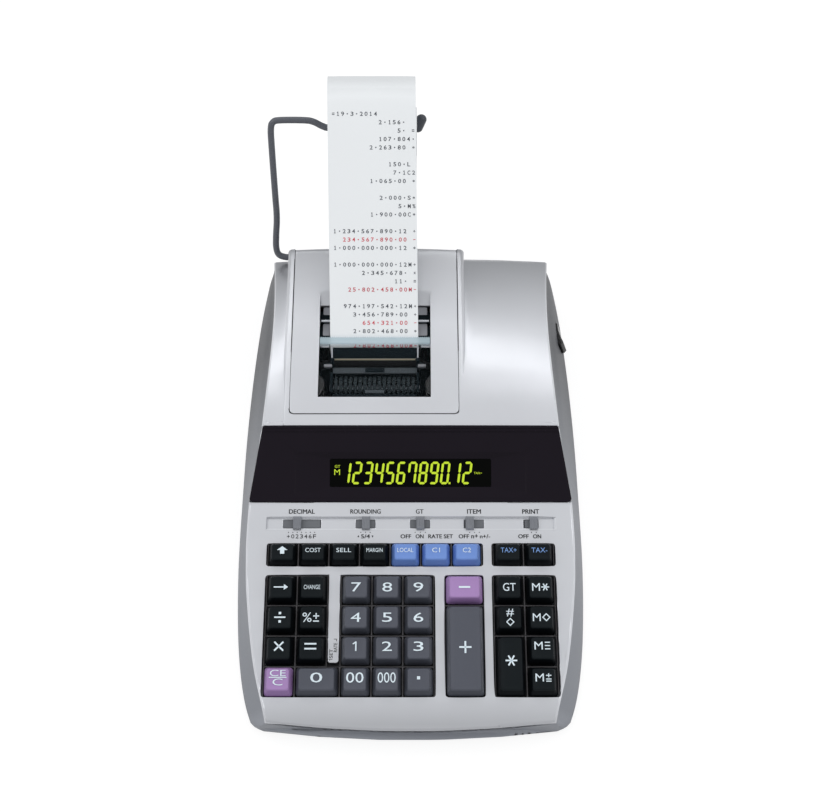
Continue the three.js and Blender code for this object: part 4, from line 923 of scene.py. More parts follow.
# %% Tray edges
TRAY_LEFT, TRAY_RIGHT, TRAY_LOW, TRAY_HIGH = -90.1, 91, 125.7, 133.6
SHADE, LIGHT = 0, 1
TRAY_SHADE = moulded("recess_shade", tone(160, 162, 168), 0.5, grain=0.5)
TRAY_LIGHT = moulded("recess_light", tone(232, 234, 238), 0.4, grain=0.5)
tray_x, tray_s = (TRAY_LEFT + TRAY_RIGHT) / 2, (TRAY_LOW + TRAY_HIGH) / 2
tray_wide, tray_deep = TRAY_RIGHT - TRAY_LEFT, TRAY_HIGH - TRAY_LOW
bm = bmesh.new()
oblong(bm, tray_wide, 0.45, (tray_x, TRAY_HIGH), DECK_INK_Z, SHADE)
oblong(bm, 0.4, tray_deep, (TRAY_LEFT, tray_s), DECK_INK_Z, SHADE)
oblong(bm, 0.4, tray_deep, (TRAY_RIGHT, tray_s), DECK_INK_Z, LIGHT)
oblong(bm, tray_wide, 0.4, (tray_x, TRAY_LOW), DECK_INK_Z, LIGHT)
make_piece("tray_edges", bm, "case", [TRAY_SHADE, TRAY_LIGHT], DECK)
print("tray:", round(tray_wide, 1), "by", round(tray_deep, 1), "mm")

# %% [markdown]
# ## Display figures
# Behind a dark filter window the figures are formed of seven slanted bars each, and glow yellow-green.
# Each bar is a thin six-sided slab, because real segments end in points where they meet. A glowing
# texture would be simpler, but it would have no sharp edges close up.

# %% Glowing figures
SEGMENTS = {
    "0": "abcdef", "1": "bc", "2": "abged", "3": "abgcd", "4": "fgbc",
    "5": "afgcd", "6": "afgedc", "7": "abcf", "8": "abcdefg", "9": "abcdfg",
}
FIGURES = "123456789012"
DIGIT_HALF, DIGIT_HIGH, DIGIT_SLANT, DIGIT_PITCH = 4.1 / 2, 12.9, 0.12, 6.95
SEGMENT_THICK, SEGMENT_GAP, SEGMENT_DEEP = 1.42, 0.12, 0.05
FIGURES_LEFT, FIGURES_BASE, FIGURE_Z = -41.4, 12, -1.44
POINT_AFTER = 9.5
# Text, width, height and middle of the small signs beside the figures
SIGNS = (("M", 3.6, 3.6, -46.4, 19), ("GT", 3.4, 1.7, -46.2, 22.6), ("TAX+", 5, 1.4, 42.6, 18.4))
SEGMENT_ENDS = {
    name: ((x0 * DIGIT_HALF, y0 * DIGIT_HIGH), (x1 * DIGIT_HALF, y1 * DIGIT_HIGH))
    for name, x0, y0, x1, y1 in (
        ("a", -1, 1, 1, 1), ("b", 1, 1, 1, 0.5), ("c", 1, 0.5, 1, 0), ("d", -1, 0, 1, 0),
        ("e", -1, 0.5, -1, 0), ("f", -1, 1, -1, 0.5), ("g", -1, 0.5, 1, 0.5))
}


def glowing(name, colour, strength):
    paint = bpy.data.materials.new(name)
    paint.use_nodes = True
    tree = paint.node_tree
    shader = tree.nodes["Principled BSDF"]
    shader.inputs["Base Color"].default_value = deeper(colour, 0.2)
    shader.inputs["Roughness"].default_value = 0.4
    shade = spread(tree, noise(tree, 3), 0, 1)
    linked(tree, two_tones(tree, shade, deeper(colour, 0.92), colour), shader.inputs["Emission Color"])
    shader.inputs["Emission Strength"].default_value = strength
    return paint


def segment(bm, start, end):
    """One slanted glowing bar between two points, pointed at both ends."""
    start, end = Vector(start), Vector(end)
    along = (end - start).normalized()
    across = Vector((-along.y, along.x)) * SEGMENT_THICK / 2
    start += along * SEGMENT_GAP
    end -= along * SEGMENT_GAP
    tip = along * SEGMENT_THICK / 2
    corners = [start, start + tip + across, end - tip + across, end, end - tip - across, start + tip - across]
    mark(bm, [(p.x + p.y * DIGIT_SLANT, p.y) for p in corners], (0, 0), 0, 0, SEGMENT_DEEP)


bm = bmesh.new()
for n, letter in enumerate(FIGURES):
    first = len(bm.verts)
    for name in SEGMENTS[letter]:
        segment(bm, *SEGMENT_ENDS[name])
    shift_new(bm, first, (FIGURES_LEFT + n * DIGIT_PITCH, FIGURES_BASE, FIGURE_Z))
oblong(bm, 1.2, 1.2, (FIGURES_LEFT + POINT_AFTER * DIGIT_PITCH, FIGURES_BASE), FIGURE_Z, 0, SEGMENT_DEEP)
for text, wide, high, x, y in SIGNS:
    lettering(bm, text, (wide, high), (x, y), FIGURE_Z, 0, 0.0, SEGMENT_DEEP)
GLOW = glowing("figure_glow", tone(186, 212, 34), 1.0)
make_piece("display_figures", bm, "case", [GLOW], PANEL)
print("figures on the display:", FIGURES)

# %% [markdown]
# ## Display front
# The front of the display is one wide glossy black moulding: a tapering plate with rolled edges, a sloping
# recess and the dark window at its foot. Rings of equally many points are joined from the back of the
# plate over its edge and down into the recess, so that it stays one closed skin.

# %% Display front
PLATE_TOP, PLATE_LOW, PLATE_ROUND, PLATE_CORNER = 0.8, -2.6, 0.7, 2.2
FRONT_HALF, BACK_HALF, PLATE_DEPTH = 101.5, 94.1, 48.4
# Width, depth, middle and corner radius
RECESS = (145.7, 28.4, 17.4, 3)
WINDOW = (102.2, 18, 18.5, 1)
# Height, near and far edge of the two ridges at the rear
RIDGES = ((0.95, 46.6, 48), (0.85, 44.3, 45.4))


def corner_arc(centre, radius, n, z):
    """Six points round the n-th corner of an outline."""
    angles = [math.radians(180 + 90 * n + 18 * step) for step in range(6)]
    return [Vector((centre[0] + radius * math.cos(a), centre[1] + radius * math.sin(a), z)) for a in angles]


def tapered_outline(inset, z):
    corners = ((-FRONT_HALF, 0, 1, 1), (FRONT_HALF, 0, -1, 1), (BACK_HALF, PLATE_DEPTH, -1, -1),
               (-BACK_HALF, PLATE_DEPTH, 1, -1))
    return [p for n, (x, y, in_x, in_y) in enumerate(corners)
            for p in corner_arc((x + in_x * PLATE_CORNER, y + in_y * PLATE_CORNER),
                                PLATE_CORNER - inset, n, z)]


def rounded_outline(wide, deep, middle_y, radius, z):
    corners = ((-1, -1), (1, -1), (1, 1), (-1, 1))
    return [p for n, (side_x, side_y) in enumerate(corners)
            for p in corner_arc(((wide / 2 - radius) * side_x, middle_y + (deep / 2 - radius) * side_y),
                                radius, n, z)]


def lofted(bm, rings):
    """Joins rings of equally many points with quads, and closes the first and the last."""
    loops = [[bm.verts.new(p) for p in ring] for ring in rings]
    for lower, upper in zip(loops, loops[1:]):
        for n in range(len(lower)):
            m = (n + 1) % len(lower)
            bm.faces.new((lower[n], lower[m], upper[m], upper[n]))
    bm.faces.new(loops[0][::-1])
    bm.faces.new(loops[-1])


bm = bmesh.new()
rings = [tapered_outline(0, PLATE_LOW), tapered_outline(0, PLATE_TOP - PLATE_ROUND)]
for share in (0.3, 0.6, 0.85, 1):
    turn = QUARTER * share
    inset, drop = PLATE_ROUND * (1 - math.cos(turn)), PLATE_ROUND * (1 - math.sin(turn))
    rings.append(tapered_outline(inset, PLATE_TOP - drop))
rings.append(rounded_outline(*RECESS, PLATE_TOP))
rings.append(rounded_outline(RECESS[0] - 0.5, RECESS[1] - 0.5, RECESS[2], RECESS[3] - 0.2, PLATE_TOP - 0.12))
rings.append(rounded_outline(*WINDOW, PLATE_TOP - 2))
rings.append(rounded_outline(WINDOW[0] - 0.3, WINDOW[1] - 0.3, WINDOW[2], WINDOW[3], PLATE_TOP - 2.3))
lofted(bm, rings)
paint_new(bm, len(bm.faces) - 1, 1)
for z, near, far in RIDGES:
    stack(bm, [(BACK_HALF * 2 - 0.6, far - near, 0.4, 0, (near + far) / 2),
               (BACK_HALF * 2 - 0.9, far - near - 0.3, z + 0.35, 0, (near + far) / 2)], 0.1, 1)
make_piece("display_front", bm, "case", [DISPLAY_BLACK, DISPLAY_DARK], PANEL,
           ["display_panel"], sharp=25)
for name, paint in (("display_tube", DISPLAY_DARK), ("key_frame", FRAME_BLACK)):
    frame["nodes"][name].data.materials.clear()
    frame["nodes"][name].data.materials.append(paint)
print("rings in the display front:", len(rings))

# %% [markdown]
# ## Printer mechanism
# The printer shows through the window in its cover, so it gets its own finishes. The chassis is dark
# moulded plastic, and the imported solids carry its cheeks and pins. They are copied with small rounds on
# their edges. The platen is black rubber on a steel shaft.

# %% Chassis and rollers
RUBBER_HALF, FACES_SIDEWAYS = 30.6, 0.6
RUBBER_PART, STEEL_PART = 0, 1


def platen_paint(centre, normal):
    """The ends and the shaft are steel; the long middle is rubber."""
    at_end = abs(normal.x) > FACES_SIDEWAYS or abs(centre.x - MIDDLE_X) > RUBBER_HALF
    return STEEL_PART if at_end else RUBBER_PART


STEEL = moulded("polished_steel", tone(200, 204, 210), 0.22, grain=0.4, relief=0.000006, metal=1)
SHAFT_STEEL = moulded("shaft_steel", tone(96, 100, 106), 0.4, grain=0.4, relief=0.000006, metal=0.6)
TYPE_METAL = moulded("type_wheel", tone(40, 48, 52), 0.4, grain=0.4, shine=0.12)
COMB_GREY = moulded("comb_grey", tone(62, 69, 74), 0.45, grain=0.5, shine=0.2)
SPOOL_BLACK = moulded("spool_black", tone(28, 30, 33), 0.35)
INK_RIBBON = moulded("ink_ribbon", tone(22, 22, 26), 0.8, grain=0.25)
SHIELD_DARK = moulded("shield_dark", tone(12, 22, 27), 0.5, grain=0.4, shine=0.04)
RIBBON_EDGE = moulded("ribbon_edge", tone(206, 196, 170), 0.7, grain=0.25)
dressed_copy("chassis_block", "printer_chassis", [MECHANISM], "case", 0.2,
             longest=6, passes=0)
dressed_copy("platen_rubber_roll", "platen_roller", [RUBBER, STEEL], "platen", 0.15,
             longest=8, passes=4, choose=platen_paint)
for side in ("left", "right"):
    dressed_copy("spool_of_ribbon_" + side, "ribbon_spool_" + side, [SPOOL_BLACK], "spool_" + side, 0.2,
                 longest=5, passes=4)

# %% [markdown]
# The type wheels are seventeen rings on one shaft. Each ring carries twelve raised characters, which
# from outside are short blocks round its rim.

# %% Type wheels
WHEELS, WHEEL_PITCH, WHEEL_R, WHEEL_THICK = 17, 3.12, 7.6, 2.1
WHEEL_Y, WHEEL_Z = 52, 55
CHARACTERS, CHARACTER_SIZE, WHEEL_TWIST = 12, (1.3, 1.9, 0.9), 11
SHAFT_R, SHAFT_LONG = 2, 58.6
bm = bmesh.new()
for n in range(WHEELS):
    x = MIDDLE_X + (n - (WHEELS - 1) / 2) * WHEEL_PITCH
    bar_round(bm, place(x, WHEEL_Y, WHEEL_Z, QUARTER, "Y"), WHEEL_R - 0.7, WHEEL_THICK, 24)
    for k in range(CHARACTERS):
        angle = math.radians(360 * k / CHARACTERS + n * WHEEL_TWIST)
        box(bm, place(x, WHEEL_Y, WHEEL_Z, angle) @ place(0, 0, WHEEL_R - 0.55), CHARACTER_SIZE)
steel_from = len(bm.faces)
bar_round(bm, place(MIDDLE_X, WHEEL_Y, WHEEL_Z, QUARTER, "Y"), SHAFT_R, SHAFT_LONG, 20)
paint_new(bm, steel_from, 1)
make_piece("type_rings", bm, "wheels", [TYPE_METAL, SHAFT_STEEL], LEVEL, ["type_wheels"])
print("type wheels:", WHEELS, "with", CHARACTERS, "characters each")

# %% [markdown]
# The ribbon is a thin woven strip, inked nearly to its upper edge. It runs from one spool round two
# upright pins to the other spool, between the wheels and the platen. The bare edge is seen in the middle.

# %% Ribbon
RIBBON_LOW, RIBBON_TOP, RIBBON_THICK, EDGE_HIGH = 52.6, 61.6, 0.25, 1
RIBBON_ROUTE = ((-70.6, 62.2), (-66, 64.6), (-52, 70.4), (-50.4, 70.6), (4, 70.6), (5.6, 70.4), (19.6, 64.6),
                (24.2, 62.2))
EDGE_ROUTE = ((-49.4, 70.42), (2.9, 70.42))


def strip(bm, route, low, high, material=0):
    """An upright strip with a real thickness, along points on the level."""
    for start, end in zip(route, route[1:]):
        start, end = Vector((*start, 0)), Vector((*end, 0))
        middle = (start + end) / 2
        turn = math.atan2(end.y - start.y, end.x - start.x)
        first = len(bm.faces)
        box(bm, place(middle.x, middle.y, (low + high) / 2, turn, "Z"),
            ((end - start).length + RIBBON_THICK, RIBBON_THICK, high - low))
        paint_new(bm, first, material)


bm = bmesh.new()
strip(bm, RIBBON_ROUTE, RIBBON_LOW, RIBBON_TOP - EDGE_HIGH)
strip(bm, RIBBON_ROUTE, RIBBON_TOP - EDGE_HIGH, RIBBON_TOP)
strip(bm, EDGE_ROUTE, RIBBON_TOP - EDGE_HIGH, RIBBON_TOP + 0.1, 1)
make_piece("inked_ribbon", bm, "case", [INK_RIBBON, RIBBON_EDGE], LEVEL)
print("ribbon bends:", len(RIBBON_ROUTE))

# %% [markdown]
# A comb of small teeth keeps the wheels apart, and two catches hold the paper shield. They are plain
# blocks with broken edges. The catches at the rear are paler than the comb.

# %% Comb and catches
PALE_FROM_Z, PALE_FROM_Y = 59.4, 58
# Offset from the middle, Y, Z and size
COMB_BLOCKS = (
    (-30.6, 65.8, 60.5, (5.2, 2, 1.8)), (-30.6, 68, 58.4, (2.6, 6, 1.2)),
    (30.6, 65.8, 60.5, (5.2, 2, 1.8)), (30.6, 68, 58.4, (2.6, 6, 1.2)),
    (0, 64, 57.4, (55, 4.4, 1.2)), (0, 45.8, 60.4, (12.4, 2.4, 1.4)),
)
bm = bmesh.new()
for n in range(WHEELS + 1):
    box(bm, place(MIDDLE_X + (n - WHEELS / 2) * WHEEL_PITCH, 48, 59.6), (1, 1.2, 3.4))
for x, y, z, size in COMB_BLOCKS:
    box(bm, place(MIDDLE_X + x, y, z), size)
bmesh.ops.bevel(bm, geom=bm.edges[:], offset=0.2, segments=1, profile=0.5, affect="EDGES", material=-1)
bm.faces.ensure_lookup_table()
for face in bm.faces:
    middle = face.calc_center_median()
    face.material_index = 0 if middle.z > PALE_FROM_Z and middle.y > PALE_FROM_Y else 1
make_piece("comb_and_catches", bm, "case", [MECHANISM_PALE, COMB_GREY], LEVEL)
print("comb teeth:", WHEELS + 1)

# %% [markdown]
# Behind the window two pale guide blocks lie across the opening, with a polished rod between them. A dark
# shield slopes down to the paper's way in, held by two small steel pins. They are added as pieces of
# their own, because colouring faces of the chassis left ragged borders.

# %% Guide blocks, shield, pins, bars and rod
# Front, rear and height of each block
GUIDE_BLOCKS, GUIDE_WIDE, GUIDE_THICK = ((85, 94.4, 67.3), (100.5, 106.6, 68.75)), 68.4, 0.3
SHIELD = place(MIDDLE_X, 73.4, 64.35, math.radians(43.4))
# Y, Z, and size of the dark bars
DARK_BARS = ((64, 58.3, (12.6, 3, 0.6)), (58, 53.6, (58, 2.4, 1.4)), (73.4, 53.6, (58, 2.4, 2)))
ROD_Y, ROD_Z, ROD_R, ROD_LONG = 95.5, 69.1, 0.9, 70.6
PIN_X, PIN_R, PIN_LONG = 28, 0.75, 7.4

bm = bmesh.new()
for front, rear, height in GUIDE_BLOCKS:
    block = rounded_plate(bm, GUIDE_WIDE, rear - front, 0.8, height, (MIDDLE_X, (front + rear) / 2))
    raised = bmesh.ops.extrude_face_region(bm, geom=[block])["geom"]
    bmesh.ops.translate(bm, vec=(0, 0, GUIDE_THICK), verts=points_of(raised))
    block.normal_flip()
bmesh.ops.recalc_face_normals(bm, faces=bm.faces)
make_piece("guide_blocks", bm, "case", [MECHANISM_PALE], LEVEL)

bm = bmesh.new()
box(bm, place(MIDDLE_X, 98.3, 68.7), (69, 4.6, 0.3))
box(bm, SHIELD, (54.6, 7.2, 0.5))
make_piece("paper_shield", bm, "case", [SHIELD_DARK], LEVEL)

bm = bmesh.new()
for side in (-1, 1):
    bar_round(bm, SHIELD @ place(PIN_X * side, 0.6, 0.5, QUARTER), PIN_R, PIN_LONG, 14)
make_piece("guide_pins", bm, "case", [STEEL], LEVEL)

bm = bmesh.new()
for y, z, size in DARK_BARS:
    box(bm, place(MIDDLE_X, y, z), size)
make_piece("dark_bars", bm, "case", [MECHANISM], LEVEL)

bm = bmesh.new()
bar_round(bm, place(MIDDLE_X, ROD_Y, ROD_Z, QUARTER, "Y"), ROD_R, ROD_LONG, 16)
make_piece("guide_rod", bm, "case", [STEEL], LEVEL)
print("guide pieces in place")

# %% [markdown]
# The cover rests on a ledge, a hair's breadth inside the hump. In that narrow gap no light returns, so it
# reads as a dark line. A thin dark strip of painted shadow just under the surface follows the gap, at the
# height of the cover's own edge.

# %% Painted shadow in the seam round the cover
COVER_HALF, COVER_FRONT, COVER_TURN = 54.25, 27.35, 3.4
SIDE_STEPS, TURN_STEPS, EDGE_FROM_X, EDGE_DEPTH = 12, 6, 50, 3
HUMP_Y, HUMP_Z, HUMP_RISE = 39.3, 65.06, 0.1248
SHADOW_WIDE, SHADOW_HIGH, SHADOW_SINK, SHADOW_OVERLAP = 0.6, 0.24, 0.07, 0.3
# The strip's dark colour is a painted shadow in the gap.
SEAM_SHADOW = moulded("seam_painted_shadow", tone(58, 56, 60), 0.8, grain=0.3, shine=0.1)


def hump_top(y):
    """Height of the cover's top face above a place along the machine."""
    return HUMP_Z + (y - HUMP_Y) * HUMP_RISE


to_level = LEVEL.inverted() @ TO_MM
edge = {}
for point in frame["nodes"]["printer_cover"].data.vertices:
    at = to_level @ point.co
    if abs(at.x - MIDDLE_X) > EDGE_FROM_X:
        edge[round(at.y)] = max(edge.get(round(at.y), 0), at.z)
tops = sorted((y, z) for y, z in edge.items() if z > hump_top(y) - EDGE_DEPTH)
seam_rear = max(edge) - 1
side_step = (seam_rear - COVER_FRONT - COVER_TURN) / SIDE_STEPS
route = [(-COVER_HALF, seam_rear - k * side_step) for k in range(SIDE_STEPS)]
for k in range(TURN_STEPS + 1):
    angle = math.radians(180 + 90 * k / TURN_STEPS)
    route.append((-COVER_HALF + COVER_TURN + COVER_TURN * math.cos(angle),
                  COVER_FRONT + COVER_TURN + COVER_TURN * math.sin(angle)))
route += [(-x, y) for x, y in reversed(route)]
heights = numpy.interp([y for _, y in route], [y for y, _ in tops], [z for _, z in tops])
points = [Vector((x + MIDDLE_X, y, z - SHADOW_SINK)) for (x, y), z in zip(route, heights)]
bm = bmesh.new()
for start, end in zip(points, points[1:]):
    line = (end - start).to_track_quat("X", "Z").to_matrix().to_4x4()
    box(bm, Matrix.Translation((start + end) / 2) @ line,
        ((end - start).length + SHADOW_OVERLAP, SHADOW_WIDE, SHADOW_HIGH))
make_piece("cover_seam_shadow", bm, "case", [SEAM_SHADOW], LEVEL)
print("seam points:", len(points), "from", tuple(round(v, 1) for v in points[0]))

# %% [markdown]
# ## Clear tear window
# The window is clear moulded plastic. Seen flat on it is almost invisible, and only its bent rear lip, where
# the paper is torn, looks pale from the light it bends and reflects. So it is mostly see-through, with a pale
# share that comes in over the last few millimetres before the saw edge, a painted reflection for that bent
# lip. Glass with true bending of light would need a thick lip of its own and would be slow and noisy.

# %% Clear window
LIP_START, LIP_END = (76.6 + SHIFT_Y) / 1000, (78.4 + SHIFT_Y) / 1000
CLEAR_SHARE, LIP_GLEAM_SHARE = 0.004, 0.52
PANE_HALF, PANE_FRONT, PANE_REAR = 35.9, 40.2, 82.6
PANE_THICK, PANE_SINK = 1.2, 0.7
TOOTH_STEP, TOOTH_DEPTH = 1.2, 0.7
CLEAR = moulded("clear_plastic", tone(200, 220, 229), 0.06, grain=2, relief=0.000002, drift=0.01,
                gloss_drift=0.02)
# The pale share rises towards the lip: a painted reflection of the light that the bent lip catches.
linked(CLEAR.node_tree, along_machine(CLEAR.node_tree, LIP_START, LIP_END, CLEAR_SHARE, LIP_GLEAM_SHARE),
       CLEAR.node_tree.nodes["Principled BSDF"].inputs["Alpha"])

teeth = round(PANE_HALF * 2 / TOOTH_STEP)
outline = [(-PANE_HALF, PANE_FRONT), (PANE_HALF, PANE_FRONT), (PANE_HALF, PANE_REAR)]
for n in range(teeth):
    tooth_x = PANE_HALF - (n + 0.5) * PANE_HALF * 2 / teeth
    outline.append((tooth_x, PANE_REAR - TOOTH_DEPTH))
    outline.append((tooth_x - PANE_HALF / teeth, PANE_REAR))
bm = bmesh.new()
top, low = ([bm.verts.new((x + MIDDLE_X, y, hump_top(y) - PANE_SINK - down)) for x, y in outline]
            for down in (0, PANE_THICK))
bm.faces.new(top)
bm.faces.new(low[::-1])
for n in range(len(top)):
    m = (n + 1) % len(top)
    bm.faces.new((top[n], low[n], low[m], top[m]))
bmesh.ops.recalc_face_normals(bm, faces=bm.faces)
make_piece("tear_pane", bm, "cover", [CLEAR], LEVEL, ["tear_window"])
print("teeth:", teeth)

# %% [markdown]
# ## Paper tape
# The tape is plain white paper that leaves the platen, runs up in front of the wire holder and curls back
# at its end. It is a finer copy of its solid, whose curl then moves a little further along the tape.

# %% Tape
TAPE_FACE = place(0, 78.67 + SHIFT_Y, 64.61, math.radians(35))
TAPE_GROWTH, GROWTH_FROM, GROWTH_OVER = 7.4, 100, 50
PAPER = moulded("paper_white", tone(249, 252, 254), 0.75, grain=0.2, relief=0.000006, drift=0.006, shine=0.2)
PAPER_INK = moulded("paper_ink", tone(84, 88, 96), 0.8, grain=0.5, relief=0.000002, drift=0.25)
PAPER_RED = moulded("paper_red", tone(214, 84, 96), 0.8, grain=0.5, relief=0.000002, drift=0.15)
# Painted shade: the paper darkens over the tape's curled end.
paint_shade_along(PAPER, 0.178, 0.189, 0.8)
tape = dressed_copy("tape_sheet", "paper_tape", [PAPER], "cover", 0, longest=5, passes=6)
tape_run = (TAPE_FACE.to_3x3() @ Vector((0, 1, 0))).normalized()
for point in tape.data.vertices:
    along = (TAPE_FACE.inverted() @ (point.co * 1000)).y
    share = min(max((along - GROWTH_FROM) / GROWTH_OVER, 0), 1)
    point.co += tape_run * (TAPE_GROWTH * share * share * (3 - 2 * share) / 1000)
print("the tape's curl now stands", TAPE_GROWTH, "mm further up, where the eye sees it")

# %% [markdown]
# The rows on the tape are what such a machine prints: right-aligned sums, with minus entries in red. One
# mesh per character is made once, and copied along the rows onto the tape's face.

# %% Print on the tape
ROW_FIRST, ROW_STEP, COLUMN_STEP, FACE_Z = 150.6, 5.415, 3.04, 0.22
RIGHT_EDGE, RIGHT_DRIFT = 3.3, 0.0115
GLYPH_THICK, GLYPH_WEIGHT = 0.02, 0.012
ROWS = {
    0: "=19.3.2014        ", 1: "2.156.  ", 2: "5. =", 3: "107.804.", 4: "2.263.80 *", 6: "150.L ",
    7: "7.1C2", 8: "1.065.00 *", 10: "2.000.S*", 11: "5.M%", 12: "1.900.00C*", 14: "1.234.567.890.12 +",
    15: "234.567.890.00 -", 16: "1.000.000.000.12 *", 18: "1.000.000.000.12M+", 19: "2.345.678. x",
    20: "11. =", 21: "25.802.458.00M-", 23: "974.197.542.12M+", 24: "3.456.789.00 +", 25: "654.321.00 -",
    26: "2.802.468.00 *", 27.75: "2.802.468.00M-",
}
RED_ROWS = (15, 21, 25, 27.75)
PLAIN_GLYPH = (1.9, 2.7)
GLYPH_SIZE = {".": (0.75, 0.75), "-": (1.5, 0.4), "+": (1.5, 1.5), "*": (1.6, 1.6), "x": (1.5, 1.4),
              "=": (1.6, 1.4)}
PRINTED_ONE = ((-0.62, -1.35), (0.62, -1.35), (0.62, -0.98), (0.2, -0.98), (0.2, 1.35), (-0.16, 1.35),
               (-0.62, 0.9), (-0.62, 0.55), (-0.2, 0.8), (-0.2, -0.98), (-0.62, -0.98))
glyphs = {}


def glyph(letter):
    """The outline mesh of one character, centred and of its printed size."""
    if letter not in glyphs:
        one = bmesh.new()
        if letter == ".":
            oblong(one, *GLYPH_SIZE["."], (0, 0), 0, 0, GLYPH_THICK)
        elif letter == "1":
            mark(one, PRINTED_ONE, (0, 0), 0, 0, GLYPH_THICK)
        else:
            size = GLYPH_SIZE.get(letter, PLAIN_GLYPH)
            lettering(one, letter, size, (0, 0), 0, 0, GLYPH_WEIGHT, GLYPH_THICK)
        glyphs[letter] = bpy.data.meshes.new("glyph")
        one.to_mesh(glyphs[letter])
        one.free()
    return glyphs[letter]


bm = bmesh.new()
for row, text in ROWS.items():
    along = ROW_FIRST - row * ROW_STEP
    right = RIGHT_EDGE - RIGHT_DRIFT * along
    for column, letter in enumerate(reversed(text)):
        if letter == " ":
            continue
        first, faces_from = len(bm.verts), len(bm.faces)
        bm.from_mesh(glyph(letter))
        shift_new(bm, first, (right - column * COLUMN_STEP, along, FACE_Z))
        paint_new(bm, faces_from, 1 if row in RED_ROWS else 0)
make_piece("tape_print", bm, "cover", [PAPER_INK, PAPER_RED], TAPE_FACE)
print("rows printed:", len(ROWS))

# %% [markdown]
# ## Wire holder
# The holder is one bent steel wire, painted dark grey, with a rubber cap on its end. It is drawn again as
# a smooth tube along the same bends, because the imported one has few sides.

# %% Bent wire and its cap
WIRE_FRAME = place(-24.6, 126.2855, 55.09, math.radians(-30))
WIRE_R, WIRE_SIDES, WIRE_STEPS = 2.2, 16, 6
WIRE_PATH = (
    (-37.5, 0), (-55.5, 0), (-61.5, 0), (-66, 2), (-67.5, 7.2), (-67.2, 16), (-66.4, 25), (-66.2, 33),
    (-66.6, 45), (-67.5, 78.7), (-67.5, 90.7), (-66, 95.2), (-61.5, 96.7), (-45.15, 96.7), (-39.15, 95.6),
    (-33.15, 92.6), (-27.15, 91.5), (0, 91.5), (25.5, 91.3), (28.6, 92), (31, 95.2),
)
TIP_R, TIP_LONG, TIP_LEAN = 3.5, 5.6, math.radians(24)
WIRE_TIP = moulded("wire_tip_rubber", tone(62, 66, 74), 0.4, grain=0.6)
WIRE_PAINT = moulded("wire_paint", tone(92, 95, 103), 0.3, grain=1, relief=0.00001)


def smooth_route(points, steps):
    """Points on a smooth curve through the given ones."""
    last = len(points) - 1
    route = []
    for n in range(last):
        p0, p1, p2, p3 = (Vector(points[min(max(n + k, 0), last)]) for k in (-1, 0, 1, 2))
        for step in range(steps):
            t = step / steps
            route.append(0.5 * (2 * p1 + (p2 - p0) * t + (2 * p0 - 5 * p1 + 4 * p2 - p3) * t * t
                                + (3 * p1 - p0 - 3 * p2 + p3) * t ** 3))
    route.append(Vector(points[-1]))
    return route


def wire_ring(spot, side):
    """Points round the wire where it runs square to a side direction."""
    angles = [math.radians(360 * k / WIRE_SIDES) for k in range(WIRE_SIDES)]
    return [Vector((spot.x + side.x * WIRE_R * math.cos(a), WIRE_R * math.sin(a),
                    spot.y + side.y * WIRE_R * math.cos(a))) for a in angles]


bm = bmesh.new()
route = smooth_route(WIRE_PATH, WIRE_STEPS)
rings = []
for n, spot in enumerate(route):
    ahead = (route[min(n + 1, len(route) - 1)] - route[max(n - 1, 0)]).normalized()
    rings.append(wire_ring(spot, Vector((-ahead.y, ahead.x))))
lofted(bm, rings)
bmesh.ops.recalc_face_normals(bm, faces=bm.faces)
make_piece("bent_wire", bm, "holder", [WIRE_PAINT], WIRE_FRAME, ["roll_holder"])

bm = bmesh.new()
cap = bmesh.ops.create_uvsphere(bm, u_segments=24, v_segments=16, radius=TIP_R)["verts"]
for point in cap:
    point.co.z += math.copysign(TIP_LONG / 2, point.co.z) if abs(point.co.z) > 0.01 else 0
bmesh.ops.transform(bm, matrix=place(30.6, 0, 94.6, TIP_LEAN, "Y"), verts=cap)
make_piece("wire_tip", bm, "holder", [WIRE_TIP], WIRE_FRAME)
print("wire points:", len(route))

# %% [markdown]
# ## Roll, web and power switch
# The roll and the web that leaves it are the same paper as the tape. The rocker is a glossy black
# moulding. Their solids are right already and only need finer faces.

# %% Roll, web and switch
dressed_copy("paper_on_roll", "paper_roll", [PAPER], "roll", 0.3, longest=6, passes=6)
dressed_copy("web_sheet", "paper_web", [PAPER], "holder", 0, longest=6, passes=4)
dressed_copy("rocker", "power_switch", [SWITCH_BLACK], "switch", 0.5, longest=2, passes=6)
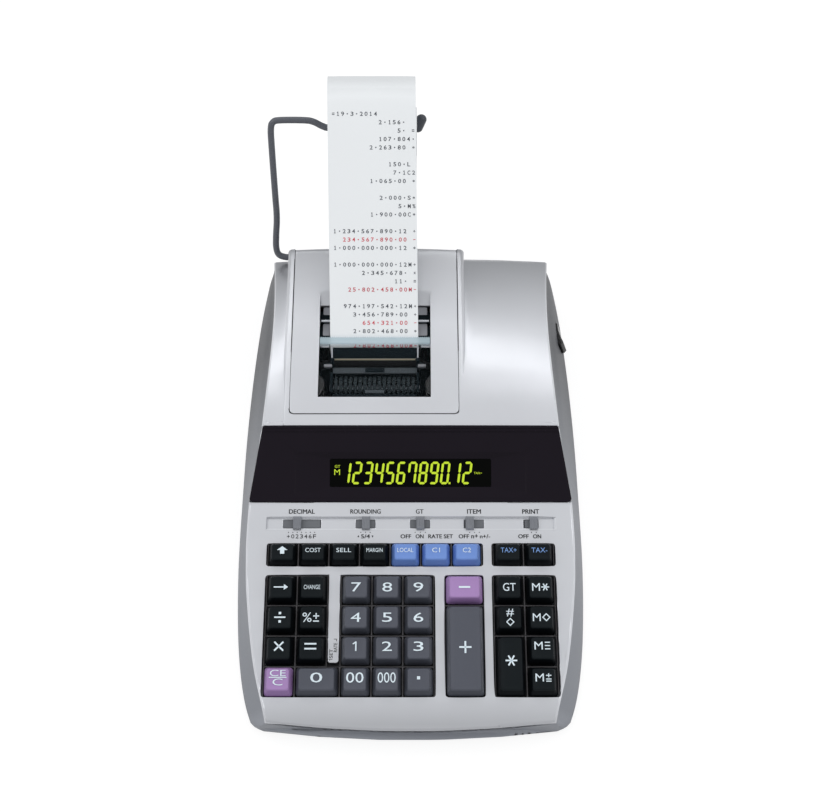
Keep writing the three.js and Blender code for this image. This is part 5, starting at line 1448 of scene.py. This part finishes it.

# %% [markdown]
# ## Underside
# The two halves of such a case are held by screws from below, each at the bottom of a shallow round well, and
# warm air leaves through rows of slots in the floor. Each well is drawn as a dark rubber disc and each slot
# as a thin dark bar: painted shade where the floor is hollow. The heads are turned parts with a cross cut in
# them, so a short cylinder with a small chamfer and two crossed dark bars, painted shade in the cut, give
# what the eye sees.

# %% Screws and vents
FLOOR_Z = 2.5
SCREWS = ((-74, -118), (74, -118), (-84, 20), (84, 20), (-60, 150), (40, 150))
WELL_R, WELL_HIGH = 5, 0.16
HEAD_R, HEAD_WIDE_R, HEAD_HIGH = 2.6, 3.2, 0.7
CROSS_TURN, CROSS_SIZE = 23, (3.4, 0.7, 0.06)
VENT_X, VENT_Y, VENT_STEP, VENTS, VENT_SIZE = 30, 60, 6, 9, (38, 2.6, 0.12)
SCREW_STEEL = moulded("screw_steel", tone(168, 170, 174), 0.35, grain=0.5, relief=0.00001, metal=1)
# The dark discs, the crossed bars and the vent bars are painted shade in the wells, the cross cuts and the
# slots.
well_shades, heads, slots = bmesh.new(), bmesh.new(), bmesh.new()
for n, (x, y) in enumerate(SCREWS):
    bar_round(well_shades, place(x, y, FLOOR_Z), WELL_R, WELL_HIGH, 28)
    bar_round(heads, place(x, y, FLOOR_Z - HEAD_HIGH / 2), HEAD_R, HEAD_HIGH, 24, HEAD_WIDE_R)
    for turn in (0, 90):
        angle = math.radians(turn + CROSS_TURN * n)
        box(slots, place(x, y, FLOOR_Z - HEAD_HIGH - 0.01, angle, "Z"), CROSS_SIZE)
for side in (-1, 1):
    for row in range(VENTS):
        box(slots, place(side * VENT_X, VENT_Y + row * VENT_STEP, FLOOR_Z), VENT_SIZE)
make_piece("screw_well_shades", well_shades, "case", [RUBBER], LEVEL)
make_piece("screw_heads", heads, "case", [SCREW_STEEL], LEVEL)
make_piece("painted_shade_crosses_and_vents", slots, "case", [SWITCH_BLACK], LEVEL)
print("screws:", len(SCREWS), "vents:", VENTS * 2)

# %% [markdown]
# The gland keeps the mains lead from being pulled or bent sharply. It is a rubber sleeve with grooves
# round it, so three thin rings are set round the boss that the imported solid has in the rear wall.

# %% Gland rings
RING_FIRST, RING_STEP = 167, 1.5
RING_OUTLINE = ((6.3, -0.4), (6.9, -0.3), (7.1, 0), (6.9, 0.3), (6.3, 0.4))
bm = bmesh.new()
for step in range(3):
    ring = place(GLAND_X, RING_FIRST + step * RING_STEP, GLAND_Z, QUARTER)
    made = [bm.verts.new(ring @ Vector((r, 0, z))) for r, z in RING_OUTLINE]
    edges = [bm.edges.new((made[k], made[(k + 1) % len(made)])) for k in range(len(made))]
    bmesh.ops.spin(bm, geom=made + edges, cent=(GLAND_X, 0, GLAND_Z), axis=(0, 1, 0), angle=math.tau,
                   steps=32, use_merge=True)
bmesh.ops.recalc_face_normals(bm, faces=bm.faces)
make_piece("gland_rings", bm, "case", [RUBBER], LEVEL)
print("gland rings: 3")
